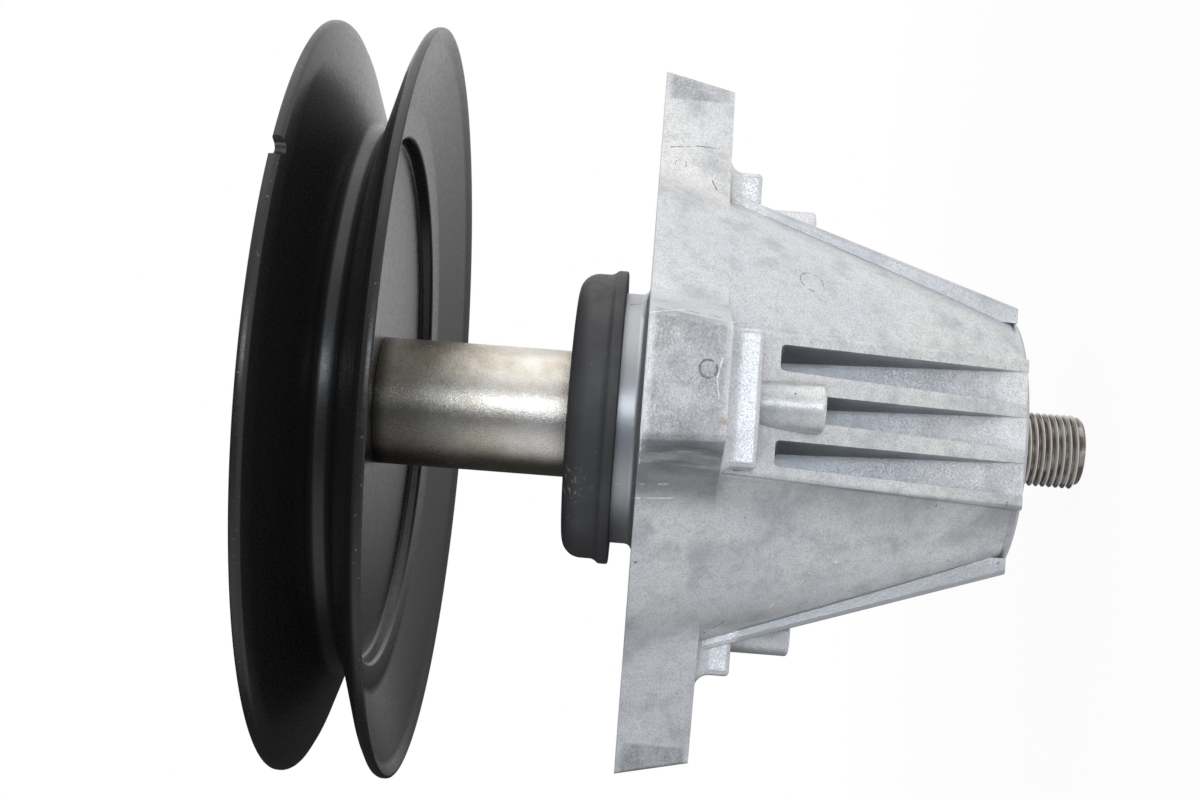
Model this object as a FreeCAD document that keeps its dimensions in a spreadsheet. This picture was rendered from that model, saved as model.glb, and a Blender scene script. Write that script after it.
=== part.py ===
"""Mower deck spindle: cast housing, two sealed ball bearings, shaft, slinger, spacer and pressed pulley.

The spindle's axis is Z, with the pulley up and the blade thread down.
The origin is on the axis, in the flange face that bolts up against the deck.
Lengths are millimetres and angles are degrees.
"""
import FreeCAD, Part
import math
import os
import re
import Sketcher

# Driving dimensions: one sheet cell each
DIMENSIONS = {
    # Cast housing
    "cone_base_radius": 53.5,
    "nose_wall": 4.7,
    "nose_depth": 77.6,
    "nose_band": 2.1,
    "nose_step": 0.8,
    "nose_edge_round": 0.6,
    "collar_wall": 3.5,
    "collar_height": 10.8,
    "collar_fillet": 1.6,
    "seat_ledge": 2.5,
    "ear_overhang": 21.1,
    "ear_thickness": 15.0,
    "ear_half_width": 11.25,
    "ear_flare_angle": 17.0,
    "ear_end_draft": 12.0,
    "ear_side_draft": 4.5,
    "ear_root_setback": 13.5,
    "ear_corner_round": 1.6,
    "ear_root_share": 0.26,
    "bolt_overhang": 8.5,
    "bolt_hole_radius": 4.0,
    "shoulder_setback": 0.5,
    "shoulder_depth": 22.0,
    "shoulder_half_width": 13.2,
    "shoulder_fillet": 3.0,
    "shoulder_corner_round": 1.2,
    "shoulder_edge_round": 1.0,
    "rib_pad_half_width": 14.0,
    "rib_pad_flare": 1.2,
    "rib_pad_gap": 0.8,
    "rib_pad_root": 1.0,
    "rib_pad_edge_round": 0.9,
    "boss_radius": 4.8,
    "boss_stand_off": 1.6,
    "boss_depth": 34.8,
    "boss_edge_round": 0.7,
    "slot_pitch": 9.2,
    "slot_floor_wall": 4.0,
    "slot_top_depth": 27.0,
    "slot_half_width": 1.35,
    "slot_draft": 2.2,
    "slot_wall_draft": 4.0,
    "slot_corner_round": 0.9,
    "slot_overrun": 1.0,
    "relief_wall": 8.0,
    "relief_half_angle": 9.5,
    "relief_offset_angle": 11.5,
    "relief_depth": 21.0,
    "casting_wall": 5.5,
    "seat_chamfer": 0.5,
    # Ball bearings
    "bearing_outer_radius": 23.5,
    "bearing_width": 14.0,
    "bearing_inset": 0.3,
    "nose_bearing_inset": 1.6,
    "seat_clearance": 0.02,
    "ball_radius": 3.97,
    "ball_clearance": 0.15,
    "race_shoulder_gap": 2.35,
    "ring_edge_round": 0.6,
    "ring_bore_chamfer": 0.5,
    "seal_thickness": 0.8,
    "seal_inset": 0.2,
    "seal_recess": 1.4,
    "seal_clearance": 0.25,
    "cage_thickness": 1.8,
    "cage_half_width": 5.0,
    "cage_clearance": 0.25,
    # Shaft
    "journal_radius": 10.0,
    "shaft_collar_radius": 13.0,
    "shaft_collar_length": 9.0,
    "thread_radius": 7.9,
    "thread_relief_radius": 7.0,
    "thread_relief_length": 1.6,
    "thread_chamfer": 1.1,
    "blade_thread_length": 18.3,
    "pulley_seat_radius": 9.0,
    "pulley_seat_flat": 8.0,
    "pulley_seat_relief": 0.4,
    "thread_proud": 2.5,
    # Sleeves on the shaft
    "sleeve_clearance": 0.15,
    "bearing_spacer_radius": 13.0,
    "pulley_spacer_radius": 13.7,
    "pulley_spacer_length": 45.8,
    "sleeve_chamfer": 0.5,
    # Dust shield
    "shield_gap": 1.35,
    "shield_wall": 2.4,
    "shield_lip_flare": 0.95,
    "shield_top": 15.0,
    "shield_lip_height": 4.8,
    "shield_lip_width": 2.2,
    "shield_edge_round": 4.2,
    "shield_grip_clearance": 0.1,
    "shield_hub_wall": 0.5,
    # Pressed pulley
    "pulley_radius": 80.0,
    "pulley_sheet": 2.0,
    "groove_half_angle": 19.0,
    "groove_root_radius": 58.5,
    "groove_root_half_width": 1.9,
    "groove_floor_round": 1.8,
    "pulley_step_round": 0.7,
    "rim_notch_radius": 2.6,
    "rim_notch_angle": -62.5,
    "pulley_hole_clearance": 0.1,
    # Pulley nut
    "nut_half_flats": 11.9,
    "nut_flange_radius": 16.5,
    "nut_flange_height": 2.4,
    "nut_height": 16.0,
    "nut_crown_radius": 10.6,
    "nut_crown_height": 3.0,
    "nut_clearance": 0.05,
}

EARS = 4
BALLS = 8
FULL_TURN = 360.0
SLOT_ROWS = (-1, 0, 1)
HEX_SIDES = 6
RELIEF_TURN = FULL_TURN / EARS / 2
PLACE_TOLERANCE = 1e-3

# Heights along the axis that several pieces share
UPPER_BEARING_TOP = "(collar_height - bearing_inset)"
UPPER_BEARING_BASE = f"({UPPER_BEARING_TOP} - bearing_width)"
LOWER_BEARING_BASE = "(nose_bearing_inset - nose_depth)"
LOWER_BEARING_TOP = f"({LOWER_BEARING_BASE} + bearing_width)"
SHAFT_COLLAR_TOP = f"({LOWER_BEARING_TOP} + shaft_collar_length)"
CONE_DEPTH = "(nose_depth - nose_band)"
BLADE_END = f"({LOWER_BEARING_BASE} - blade_thread_length)"
WEB_BASE = f"({UPPER_BEARING_TOP} + pulley_spacer_length)"
PULLEY_MIDDLE = f"({WEB_BASE} + pulley_sheet)"
WEB_TOP = f"({PULLEY_MIDDLE} + pulley_sheet)"
SHAFT_TOP = f"({WEB_TOP} + nut_height + thread_proud)"

# Radii and reaches that several pieces share
NOSE_RADIUS = "(bearing_outer_radius + nose_wall)"
NOSE_BAND_RADIUS = f"({NOSE_RADIUS} - nose_step)"
COLLAR_RADIUS = "(bearing_outer_radius + collar_wall)"
CAVITY_RADIUS = "(bearing_outer_radius - seat_ledge)"
SLOT_FLOOR_RADIUS = "(bearing_outer_radius + slot_floor_wall)"
RELIEF_INNER_RADIUS = "(bearing_outer_radius + relief_wall)"
EAR_REACH = "(cone_base_radius + ear_overhang)"
EAR_ROOT_REACH = "(cone_base_radius - ear_root_setback)"
RIB_PAD_ROOT = "(bearing_outer_radius + seat_clearance + rib_pad_root)"
RIB_PAD_DEPTH = "(nose_depth - rib_pad_gap)"
BOLT_CIRCLE_RADIUS = "(cone_base_radius + bolt_overhang)"
SHOULDER_REACH = "(cone_base_radius - shoulder_setback)"
SHIELD_RADIUS = f"({COLLAR_RADIUS} + shield_gap + shield_wall)"
SHIELD_LIP_RADIUS = f"({SHIELD_RADIUS} + shield_lip_flare)"
PITCH_RADIUS = "((journal_radius + bearing_outer_radius) / 2)"
BEARING_SEAT_RADIUS = "(bearing_outer_radius + seat_clearance)"
INNER_RING_BORE = "(journal_radius + seat_clearance)"
INNER_SHOULDER_RADIUS = f"({PITCH_RADIUS} - race_shoulder_gap)"
OUTER_SHOULDER_RADIUS = f"({PITCH_RADIUS} + race_shoulder_gap)"
SEAL_RECESS_RADIUS = f"({OUTER_SHOULDER_RADIUS} + seal_recess)"
SEAL_DEPTH = "(seal_inset + seal_thickness)"
SLEEVE_BORE = "(journal_radius + sleeve_clearance)"
SHIELD_BORE = "(pulley_spacer_radius + shield_grip_clearance)"

doc = FreeCAD.newDocument("mower_deck_spindle")
sheet = doc.addObject("Spreadsheet::Sheet", "Dims")
for row, (alias, value) in enumerate(DIMENSIONS.items(), start=1):
    sheet.set(f"A{row}", alias)
    sheet.set(f"B{row}", str(value))
    sheet.setAlias(f"B{row}", alias)
doc.recompute()


def bound(expression):
    """The expression with each dimension's name written as its sheet cell."""
    return re.sub(r"[a-z][a-z_]*[a-z]", lambda word: cell(word.group()), str(expression))


def cell(word):
    """The sheet's reference for a dimension, or the word itself."""
    return f"Dims.{word}" if word in DIMENSIONS else word


def size(expression):
    """The expression's present value."""
    return float(sheet.evalExpression(bound(expression)))


def tie(owner, property_name, expression):
    """Bind one property to the sheet."""
    owner.setExpression(property_name, bound(expression))


def new_body(label, height="0"):
    """A body with its own name, raised to a height along the axis."""
    body = doc.addObject("PartDesign::Body", label)
    body.Label = label
    tie(body, "Placement.Base.z", height)
    return body


def origin_plane(body, role):
    """One of the body's own three planes."""
    return next(plane for plane in body.Origin.OriginFeatures if plane.Role == role)


def new_sketch(body, name, role="XZ_Plane", offset="0"):
    """An empty sketch on one of the body's planes, moved along the plane's normal."""
    sketch = body.newObject("Sketcher::SketchObject", name)
    sketch.AttachmentSupport = [(origin_plane(body, role), "")]
    sketch.MapMode = "FlatFace"
    tie(sketch, "AttachmentOffset.Base.z", offset)
    return sketch


def pin_point(sketch, geometry, end, corner):
    """Hold a point of the sketch at a place given by two expressions."""
    for kind, expression in zip(("DistanceX", "DistanceY"), corner):
        rule = Sketcher.Constraint(kind, -1, 1, geometry, end, size(expression))
        index = sketch.addConstraint(rule)
        tie(sketch, f"Constraints[{index}]", expression)


def add_outline(sketch, corners):
    """A closed outline of straight runs through corners given as pairs of expressions."""
    points = [FreeCAD.Vector(size(across), size(up), 0) for across, up in corners]
    first = sketch.GeometryCount
    count = len(points)
    for index, point in enumerate(points):
        sketch.addGeometry(Part.LineSegment(point, points[(index + 1) % count]))
    for index, corner in enumerate(corners):
        following = first + (index + 1) % count
        sketch.addConstraint(Sketcher.Constraint("Coincident", first + index, 2, following, 1))
        pin_point(sketch, first + index, 1, corner)


def add_circle(sketch, centre, radius):
    """A circle about a centre given by two expressions."""
    place = FreeCAD.Vector(size(centre[0]), size(centre[1]), 0)
    circle = Part.Circle(place, FreeCAD.Vector(0, 0, 1), size(radius))
    index = sketch.addGeometry(circle)
    pin_point(sketch, index, 3, centre)
    rule = sketch.addConstraint(Sketcher.Constraint("Radius", index, size(radius)))
    tie(sketch, f"Constraints[{rule}]", radius)


def revolve(body, name, corners):
    """A turned solid from its half section, radius across and height up."""
    sketch = new_sketch(body, f"{name}_section")
    add_outline(sketch, corners)
    feature = body.newObject("PartDesign::Revolution", name)
    feature.Profile = sketch
    feature.ReferenceAxis = (sketch, ["V_Axis"])
    doc.recompute()
    return feature


def pad(body, name, sketch, length, downwards=False):
    """A pad on a finished sketch."""
    feature = body.newObject("PartDesign::Pad", name)
    feature.Profile = sketch
    feature.Reversed = downwards
    tie(feature, "Length", length)
    doc.recompute()
    return feature


def pocket(body, name, sketch, length, along_normal=False):
    """A pocket on a finished sketch, checked to take material away."""
    before = body.Shape.Volume
    feature = body.newObject("PartDesign::Pocket", name)
    feature.Profile = sketch
    feature.Reversed = along_normal
    tie(feature, "Length", length)
    doc.recompute()
    if not body.Shape.Volume < before:
        raise RuntimeError(f"{name} takes nothing away")
    return feature


def turn_copies(body, name, originals, count):
    """The features repeated evenly round the axis."""
    feature = body.newObject("PartDesign::PolarPattern", name)
    feature.Originals = originals
    axis = next(line for line in body.Origin.OriginFeatures if line.Role == "Z_Axis")
    feature.Axis = (axis, [""])
    feature.Angle = FULL_TURN
    feature.Occurrences = count
    body.Tip = feature
    doc.recompute()
    return feature


def edge_names(shape, wanted):
    """Names of the shape's edges that a test picks."""
    return [f"Edge{index}" for index, edge in enumerate(shape.Edges, start=1) if wanted(edge)]


def round_edges(body, name, radius, wanted):
    """A fillet on the edges of the body's last feature that a test picks."""
    base = body.Tip
    feature = body.newObject("PartDesign::Fillet", name)
    feature.Base = (base, edge_names(base.Shape, wanted))
    tie(feature, "Radius", radius)
    doc.recompute()
    return feature


def bevel_edges(body, name, width, wanted):
    """A chamfer on the edges of the body's last feature that a test picks."""
    base = body.Tip
    feature = body.newObject("PartDesign::Chamfer", name)
    feature.Base = (base, edge_names(base.Shape, wanted))
    tie(feature, "Size", width)
    doc.recompute()
    return feature


def near(first, second):
    """Whether two lengths agree."""
    return abs(first - second) < PLACE_TOLERANCE


def is_ring(radius, height):
    """A test for the full circle of a radius at a height."""
    def wanted(edge):
        curve = edge.Curve
        if not isinstance(curve, Part.Circle):
            return False
        return near(curve.Radius, size(radius)) and near(edge.CenterOfMass.z, size(height))
    return wanted


def any_of(*tests):
    """A test that passes where one of several does."""
    return lambda edge: any(test(edge) for test in tests)


def middle(edge):
    """The point halfway along an edge."""
    first, last = edge.ParameterRange
    return edge.valueAt((first + last) / 2)


def in_ear_frame(point):
    """A point turned back to the ear that lies along X: reach, offset to the side, height."""
    step = 2 * math.pi / EARS
    turn = step * round(math.atan2(point.y, point.x) / step)
    reach = point.x * math.cos(turn) + point.y * math.sin(turn)
    aside = point.y * math.cos(turn) - point.x * math.sin(turn)
    return reach, aside, point.z


# Cast housing
def cone_radius_at(depth):
    """The tapered body's radius at a depth below the flange face."""
    return f"(cone_base_radius - (cone_base_radius - {NOSE_RADIUS}) * {depth} / {CONE_DEPTH})"


BOSS_REACH = f"({cone_radius_at('boss_depth')} + boss_stand_off)"


def ear_outline(depth):
    """The ear's plan at a depth below the flange face: drafted end and flared sides."""
    reach = f"({EAR_REACH} - {depth} * tan(ear_end_draft))"
    end = f"(ear_half_width - {depth} * tan(ear_side_draft))"
    root = f"({end} + ({EAR_REACH} - {EAR_ROOT_REACH}) * tan(ear_flare_angle))"
    return [(EAR_ROOT_REACH, f"-{root}"), (reach, f"-{end}"), (reach, end), (EAR_ROOT_REACH, root)]


def rib_pad_outline(depth, widening="0"):
    """The plan, at a depth below the flange face, of the flat band that carries the ribs."""
    reach = cone_radius_at(depth)
    side = f"(rib_pad_half_width + {widening})"
    return [(RIB_PAD_ROOT, f"-{side}"), (reach, f"-{side}"), (reach, side), (RIB_PAD_ROOT, side)]


def slot_outline(row):
    """The floor of one cored slot between ribs, wider towards the nose; the middle one starts at the boss's end."""
    top = "slot_top_depth" if row else "boss_depth"
    narrow = f"(slot_half_width + ({top} - slot_top_depth) * tan(slot_draft))"
    wide = "(slot_half_width + (nose_depth + slot_overrun - slot_top_depth) * tan(slot_draft))"
    centre = f"({row} * slot_pitch)"
    end = "-(nose_depth + slot_overrun)"
    return [
        (f"{centre} - {narrow}", f"-{top}"),
        (f"{centre} - {wide}", end),
        (f"{centre} + {wide}", end),
        (f"{centre} + {narrow}", f"-{top}"),
    ]


def spans(edge, top, base):
    """Whether an edge runs from one height to another."""
    heights = sorted(vertex.Z for vertex in edge.Vertexes)
    return len(heights) == 2 and near(heights[0], size(base)) and near(heights[1], size(top))


def lies_at(edge, height):
    """Whether an edge lies in the level plane at a height."""
    box = edge.BoundBox
    return near(box.ZMin, size(height)) and near(box.ZMax, size(height))


def is_shoulder_post(edge):
    """The shoulder's upright corners."""
    reach = in_ear_frame(middle(edge))[0]
    return spans(edge, "-ear_thickness", "-shoulder_depth") and near(reach, size(SHOULDER_REACH))


def is_shoulder_outline(height):
    """A test for the shoulder's outline, with its rounded corners, at a height."""
    def wanted(edge):
        reach, aside, _ = in_ear_frame(middle(edge))
        to_front = size(SHOULDER_REACH) - reach
        to_side = size("shoulder_half_width") - abs(aside)
        corner = size("shoulder_corner_round")
        at_corner = max(to_front, to_side) < corner and min(to_front, to_side) > -PLACE_TOLERANCE
        inside = min(to_front, to_side) > -PLACE_TOLERANCE
        at_edge = near(to_front, 0) or near(to_side, 0)
        return lies_at(edge, height) and inside and (at_edge or at_corner)
    return wanted


def is_ear_corner(edge):
    """The upright corners at the ear's end."""
    reach, aside, _ = in_ear_frame(middle(edge))
    at_end = reach > size("cone_base_radius") and abs(aside) > size("bolt_hole_radius")
    return spans(edge, "0", "-ear_thickness") and at_end


def is_ear_root(edge):
    """Where the ear's flared sides run into the tapered body."""
    reach, aside, _ = in_ear_frame(middle(edge))
    at_root = reach < size("cone_base_radius") and abs(aside) > size("shoulder_half_width")
    return spans(edge, "0", "-ear_thickness") and at_root


def is_boss_end(edge):
    """The rim of the boss's free end."""
    reach, aside, _ = in_ear_frame(middle(edge))
    from_centre = math.hypot(reach - size(BOSS_REACH), aside)
    return lies_at(edge, "-boss_depth") and near(from_centre, size("boss_radius"))


def is_slot_corner(edge):
    """The corners at the blind end of a slot, which run out from its floor."""
    if len(edge.Vertexes) != 2:
        return False
    floor, rim = sorted(in_ear_frame(vertex.Point) for vertex in edge.Vertexes)
    starts_at_floor = near(floor[0], size(SLOT_FLOOR_RADIUS))
    runs_outwards = rim[0] - floor[0] > size("boss_radius")
    at_blind_end = near(floor[2], -size("slot_top_depth")) or near(floor[2], -size("boss_depth"))
    return at_blind_end and starts_at_floor and runs_outwards


def is_rib_pad_edge(edge):
    """The long outer edges of the flat band."""
    if len(edge.Vertexes) != 2:
        return False
    reach, aside, height = in_ear_frame(middle(edge))
    share = (-height - size("ear_thickness")) / (size(RIB_PAD_DEPTH) - size("ear_thickness"))
    at_side = near(abs(aside), size("rib_pad_half_width") + size("rib_pad_flare") * share)
    return at_side and near(reach, size(cone_radius_at(-height)))


def add_relief(body, side):
    """One cored pocket in the flange face, on one side of the rib between two ears."""
    section = new_sketch(body, f"relief_section_{'right' if side > 0 else 'left'}")
    section.AttachmentOffset.Rotation = FreeCAD.Rotation(FreeCAD.Vector(0, 1, 0), RELIEF_TURN)
    tie(section, "AttachmentOffset.Rotation.Angle", f"{RELIEF_TURN} + {side} * relief_offset_angle")
    add_outline(section, [
        (RELIEF_INNER_RADIUS, "0"),
        (f"{cone_radius_at('0')} - casting_wall", "0"),
        (f"{cone_radius_at('relief_depth')} - casting_wall", "-relief_depth"),
        (RELIEF_INNER_RADIUS, "-relief_depth"),
    ])
    before = body.Shape.Volume
    relief = body.newObject("PartDesign::Groove", f"relief_{'right' if side > 0 else 'left'}")
    relief.Profile = section
    relief.ReferenceAxis = (section, ["V_Axis"])
    relief.Midplane = True
    tie(relief, "Angle", "2 * relief_half_angle")
    doc.recompute()
    if not body.Shape.Volume < before:
        raise RuntimeError(f"{relief.Name} takes nothing away")
    return relief


def add_ear(body):
    """One ear with its shoulder, boss, bolt hole, slots and the cored pockets beside it."""
    ear_top = new_sketch(body, "ear_top_plan", "XY_Plane")
    add_outline(ear_top, ear_outline("0"))
    ear_under = new_sketch(body, "ear_under_plan", "XY_Plane", "-ear_thickness")
    add_outline(ear_under, ear_outline("ear_thickness"))
    ear = body.newObject("PartDesign::AdditiveLoft", "ear")
    ear.Profile = ear_top
    ear.Sections = [ear_under]
    ear.Ruled = True
    doc.recompute()
    shoulder_plan = new_sketch(body, "shoulder_plan", "XY_Plane")
    add_outline(shoulder_plan, [
        (EAR_ROOT_REACH, "-shoulder_half_width"),
        (SHOULDER_REACH, "-shoulder_half_width"),
        (SHOULDER_REACH, "shoulder_half_width"),
        (EAR_ROOT_REACH, "shoulder_half_width"),
    ])
    shoulder = pad(body, "shoulder", shoulder_plan, "shoulder_depth", downwards=True)
    pad_top = new_sketch(body, "rib_pad_top_plan", "XY_Plane", "-ear_thickness")
    add_outline(pad_top, rib_pad_outline("ear_thickness"))
    pad_end = new_sketch(body, "rib_pad_end_plan", "XY_Plane", f"-{RIB_PAD_DEPTH}")
    add_outline(pad_end, rib_pad_outline(RIB_PAD_DEPTH, "rib_pad_flare"))
    rib_pad = body.newObject("PartDesign::AdditiveLoft", "rib_pad")
    rib_pad.Profile = pad_top
    rib_pad.Sections = [pad_end]
    rib_pad.Ruled = True
    doc.recompute()
    slot_plan = new_sketch(body, "slot_plan", "YZ_Plane", SLOT_FLOOR_RADIUS)
    for row in SLOT_ROWS:
        add_outline(slot_plan, slot_outline(row))
    slots = pocket(body, "slots", slot_plan, EAR_REACH, along_normal=True)
    tie(slots, "TaperAngle", "slot_wall_draft")
    doc.recompute()
    boss_plan = new_sketch(body, "boss_plan", "XY_Plane")
    add_circle(boss_plan, (BOSS_REACH, "0"), "boss_radius")
    boss = pad(body, "boss", boss_plan, "boss_depth", downwards=True)
    hole_plan = new_sketch(body, "hole_plan", "XY_Plane")
    add_circle(hole_plan, (BOLT_CIRCLE_RADIUS, "0"), "bolt_hole_radius")
    hole = pocket(body, "bolt_hole", hole_plan, "ear_thickness")
    reliefs = [add_relief(body, side) for side in (-1, 1)]
    return [ear, shoulder, rib_pad, slots, boss, hole] + reliefs


def make_housing():
    """The casting: tapered body, pilot collar, bearing seats, ears, shoulders, bosses and slots."""
    body = new_body("spindle_housing")
    revolve(body, "tapered_body", [
        (BEARING_SEAT_RADIUS, "collar_height"),
        (COLLAR_RADIUS, "collar_height"),
        (COLLAR_RADIUS, "0"),
        ("cone_base_radius", "0"),
        (NOSE_RADIUS, f"-{CONE_DEPTH}"),
        (NOSE_BAND_RADIUS, f"-{CONE_DEPTH}"),
        (NOSE_BAND_RADIUS, "-nose_depth"),
        (BEARING_SEAT_RADIUS, "-nose_depth"),
        (BEARING_SEAT_RADIUS, LOWER_BEARING_TOP),
        (CAVITY_RADIUS, LOWER_BEARING_TOP),
        (CAVITY_RADIUS, UPPER_BEARING_BASE),
        (BEARING_SEAT_RADIUS, UPPER_BEARING_BASE),
    ])
    turn_copies(body, "ears", add_ear(body), EARS)
    round_edges(body, "shoulder_posts", "shoulder_corner_round", is_shoulder_post)
    round_edges(body, "ear_corners", "ear_corner_round", is_ear_corner)
    round_edges(body, "shoulder_roots", "shoulder_fillet", is_shoulder_outline("-ear_thickness"))
    round_edges(body, "shoulder_edges", "shoulder_edge_round", is_shoulder_outline("-shoulder_depth"))
    round_edges(body, "boss_ends", "boss_edge_round", is_boss_end)
    round_edges(body, "slot_corners", "slot_corner_round", is_slot_corner)
    round_edges(body, "rib_pad_edges", "rib_pad_edge_round", is_rib_pad_edge)
    round_edges(body, "ear_roots", "cone_base_radius * ear_root_share", is_ear_root)
    round_edges(body, "collar_root", "collar_fillet", is_ring(COLLAR_RADIUS, "0"))
    round_edges(body, "nose_edge", "nose_edge_round", is_ring(NOSE_BAND_RADIUS, "-nose_depth"))
    bevel_edges(body, "seat_edges", "seat_chamfer", any_of(
        is_ring(BEARING_SEAT_RADIUS, "collar_height"),
        is_ring(COLLAR_RADIUS, "collar_height"),
        is_ring(BEARING_SEAT_RADIUS, "-nose_depth"),
    ))
    return body


# Ball bearings
def make_bearing(name, base):
    """One sealed ball bearing standing on a height: two rings, eight balls, a cage and two seals."""
    race_radius = "(ball_radius + ball_clearance)"
    half = "(bearing_width / 2)"
    middle_height = f"({base} + {half})"

    outer = new_body(f"{name}_outer_ring", base)
    revolve(outer, f"{name}_outer_section", [
        (OUTER_SHOULDER_RADIUS, SEAL_DEPTH),
        (SEAL_RECESS_RADIUS, SEAL_DEPTH),
        (SEAL_RECESS_RADIUS, "0"),
        ("bearing_outer_radius", "0"),
        ("bearing_outer_radius", "bearing_width"),
        (SEAL_RECESS_RADIUS, "bearing_width"),
        (SEAL_RECESS_RADIUS, f"bearing_width - {SEAL_DEPTH}"),
        (OUTER_SHOULDER_RADIUS, f"bearing_width - {SEAL_DEPTH}"),
    ])
    cut_race(outer, f"{name}_outer_race", race_radius)
    round_edges(outer, f"{name}_outer_edges", "ring_edge_round", any_of(
        is_ring("bearing_outer_radius", "0"),
        is_ring("bearing_outer_radius", "bearing_width"),
    ))

    inner = new_body(f"{name}_inner_ring", base)
    revolve(inner, f"{name}_inner_section", [
        (INNER_RING_BORE, "0"),
        (INNER_SHOULDER_RADIUS, "0"),
        (INNER_SHOULDER_RADIUS, "bearing_width"),
        (INNER_RING_BORE, "bearing_width"),
    ])
    cut_race(inner, f"{name}_inner_race", race_radius)
    bevel_edges(inner, f"{name}_inner_edges", "ring_bore_chamfer", any_of(
        is_ring(INNER_RING_BORE, "0"),
        is_ring(INNER_RING_BORE, "bearing_width"),
    ))

    balls = []
    for index in range(BALLS):
        ball = doc.addObject("Part::Sphere", f"{name}_ball_{index}")
        turn = index * FULL_TURN / BALLS
        tie(ball, "Radius", "ball_radius")
        tie(ball, "Placement.Base.x", f"{PITCH_RADIUS} * cos({turn})")
        tie(ball, "Placement.Base.y", f"{PITCH_RADIUS} * sin({turn})")
        balls.append(ball)
    ball_set = doc.addObject("Part::Compound", f"{name}_balls")
    ball_set.Label = f"{name}_balls"
    ball_set.Links = balls
    tie(ball_set, "Placement.Base.z", middle_height)

    cage = new_body(f"{name}_cage", middle_height)
    revolve(cage, f"{name}_cage_band", [
        (f"{PITCH_RADIUS} - cage_thickness / 2", "-cage_half_width"),
        (f"{PITCH_RADIUS} + cage_thickness / 2", "-cage_half_width"),
        (f"{PITCH_RADIUS} + cage_thickness / 2", "cage_half_width"),
        (f"{PITCH_RADIUS} - cage_thickness / 2", "cage_half_width"),
    ])
    window_plan = new_sketch(cage, f"{name}_cage_window", "YZ_Plane")
    add_circle(window_plan, ("0", "0"), "ball_radius + cage_clearance")
    window = pocket(cage, f"{name}_cage_cut", window_plan, "bearing_outer_radius", along_normal=True)
    turn_copies(cage, f"{name}_cage_windows", [window], BALLS)

    seals = []
    for side, height in (("top", f"bearing_width - {SEAL_DEPTH}"), ("bottom", "seal_inset")):
        seal = new_body(f"{name}_{side}_seal", f"({base} + {height})")
        revolve(seal, f"{name}_{side}_seal_section", [
            (f"{INNER_SHOULDER_RADIUS} + seal_clearance", "0"),
            (f"{SEAL_RECESS_RADIUS} - seat_clearance", "0"),
            (f"{SEAL_RECESS_RADIUS} - seat_clearance", "seal_thickness"),
            (f"{INNER_SHOULDER_RADIUS} + seal_clearance", "seal_thickness"),
        ])
        seals.append(seal)
    return [outer, inner, ball_set, cage] + seals


def cut_race(body, name, radius):
    """The round track that the balls run in, halfway up a ring."""
    sketch = new_sketch(body, f"{name}_section")
    add_circle(sketch, (PITCH_RADIUS, "bearing_width / 2"), radius)
    before = body.Shape.Volume
    feature = body.newObject("PartDesign::Groove", name)
    feature.Profile = sketch
    feature.ReferenceAxis = (sketch, ["V_Axis"])
    doc.recompute()
    if not body.Shape.Volume < before:
        raise RuntimeError(f"{name} takes nothing away")
    return feature


# Shaft and the sleeves on it
def make_shaft():
    """The turned shaft: blade thread, bearing journals, collar, pulley seat with two flats, top thread."""
    body = new_body("spindle_shaft")
    seat_base = f"({WEB_BASE} - pulley_seat_relief)"
    seat_top = f"({WEB_TOP} - pulley_seat_relief)"
    relief_top = LOWER_BEARING_BASE
    relief_base = f"({LOWER_BEARING_BASE} - thread_relief_length)"
    revolve(body, "shaft_section", [
        ("0", BLADE_END),
        ("thread_radius", BLADE_END),
        ("thread_radius", relief_base),
        ("thread_relief_radius", relief_base),
        ("thread_relief_radius", relief_top),
        ("journal_radius", relief_top),
        ("journal_radius", LOWER_BEARING_TOP),
        ("shaft_collar_radius", LOWER_BEARING_TOP),
        ("shaft_collar_radius", SHAFT_COLLAR_TOP),
        ("journal_radius", SHAFT_COLLAR_TOP),
        ("journal_radius", seat_base),
        ("pulley_seat_radius", seat_base),
        ("pulley_seat_radius", seat_top),
        ("thread_radius", seat_top),
        ("thread_radius", SHAFT_TOP),
        ("0", SHAFT_TOP),
    ])
    flats = new_sketch(body, "seat_flats", "XY_Plane", seat_base)
    for side in (-1, 1):
        add_outline(flats, [
            (f"{side} * pulley_seat_flat", "-pulley_seat_radius"),
            (f"{side} * pulley_seat_radius", "-pulley_seat_radius"),
            (f"{side} * pulley_seat_radius", "pulley_seat_radius"),
            (f"{side} * pulley_seat_flat", "pulley_seat_radius"),
        ])
    pocket(body, "seat_flat_cuts", flats, f"{seat_top} - {seat_base}", along_normal=True)
    bevel_edges(body, "thread_ends", "thread_chamfer", any_of(
        is_ring("thread_radius", BLADE_END),
        is_ring("thread_radius", SHAFT_TOP),
    ))
    return body


def make_sleeve(name, radius, base, top):
    """A plain sleeve on the shaft between two heights, with both rims chamfered."""
    body = new_body(name, base)
    length = f"({top} - {base})"
    revolve(body, f"{name}_section", [
        (SLEEVE_BORE, "0"),
        (radius, "0"),
        (radius, length),
        (SLEEVE_BORE, length),
    ])
    bevel_edges(body, f"{name}_rims", "sleeve_chamfer", any_of(is_ring(radius, "0"), is_ring(radius, length)))
    return body


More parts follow.
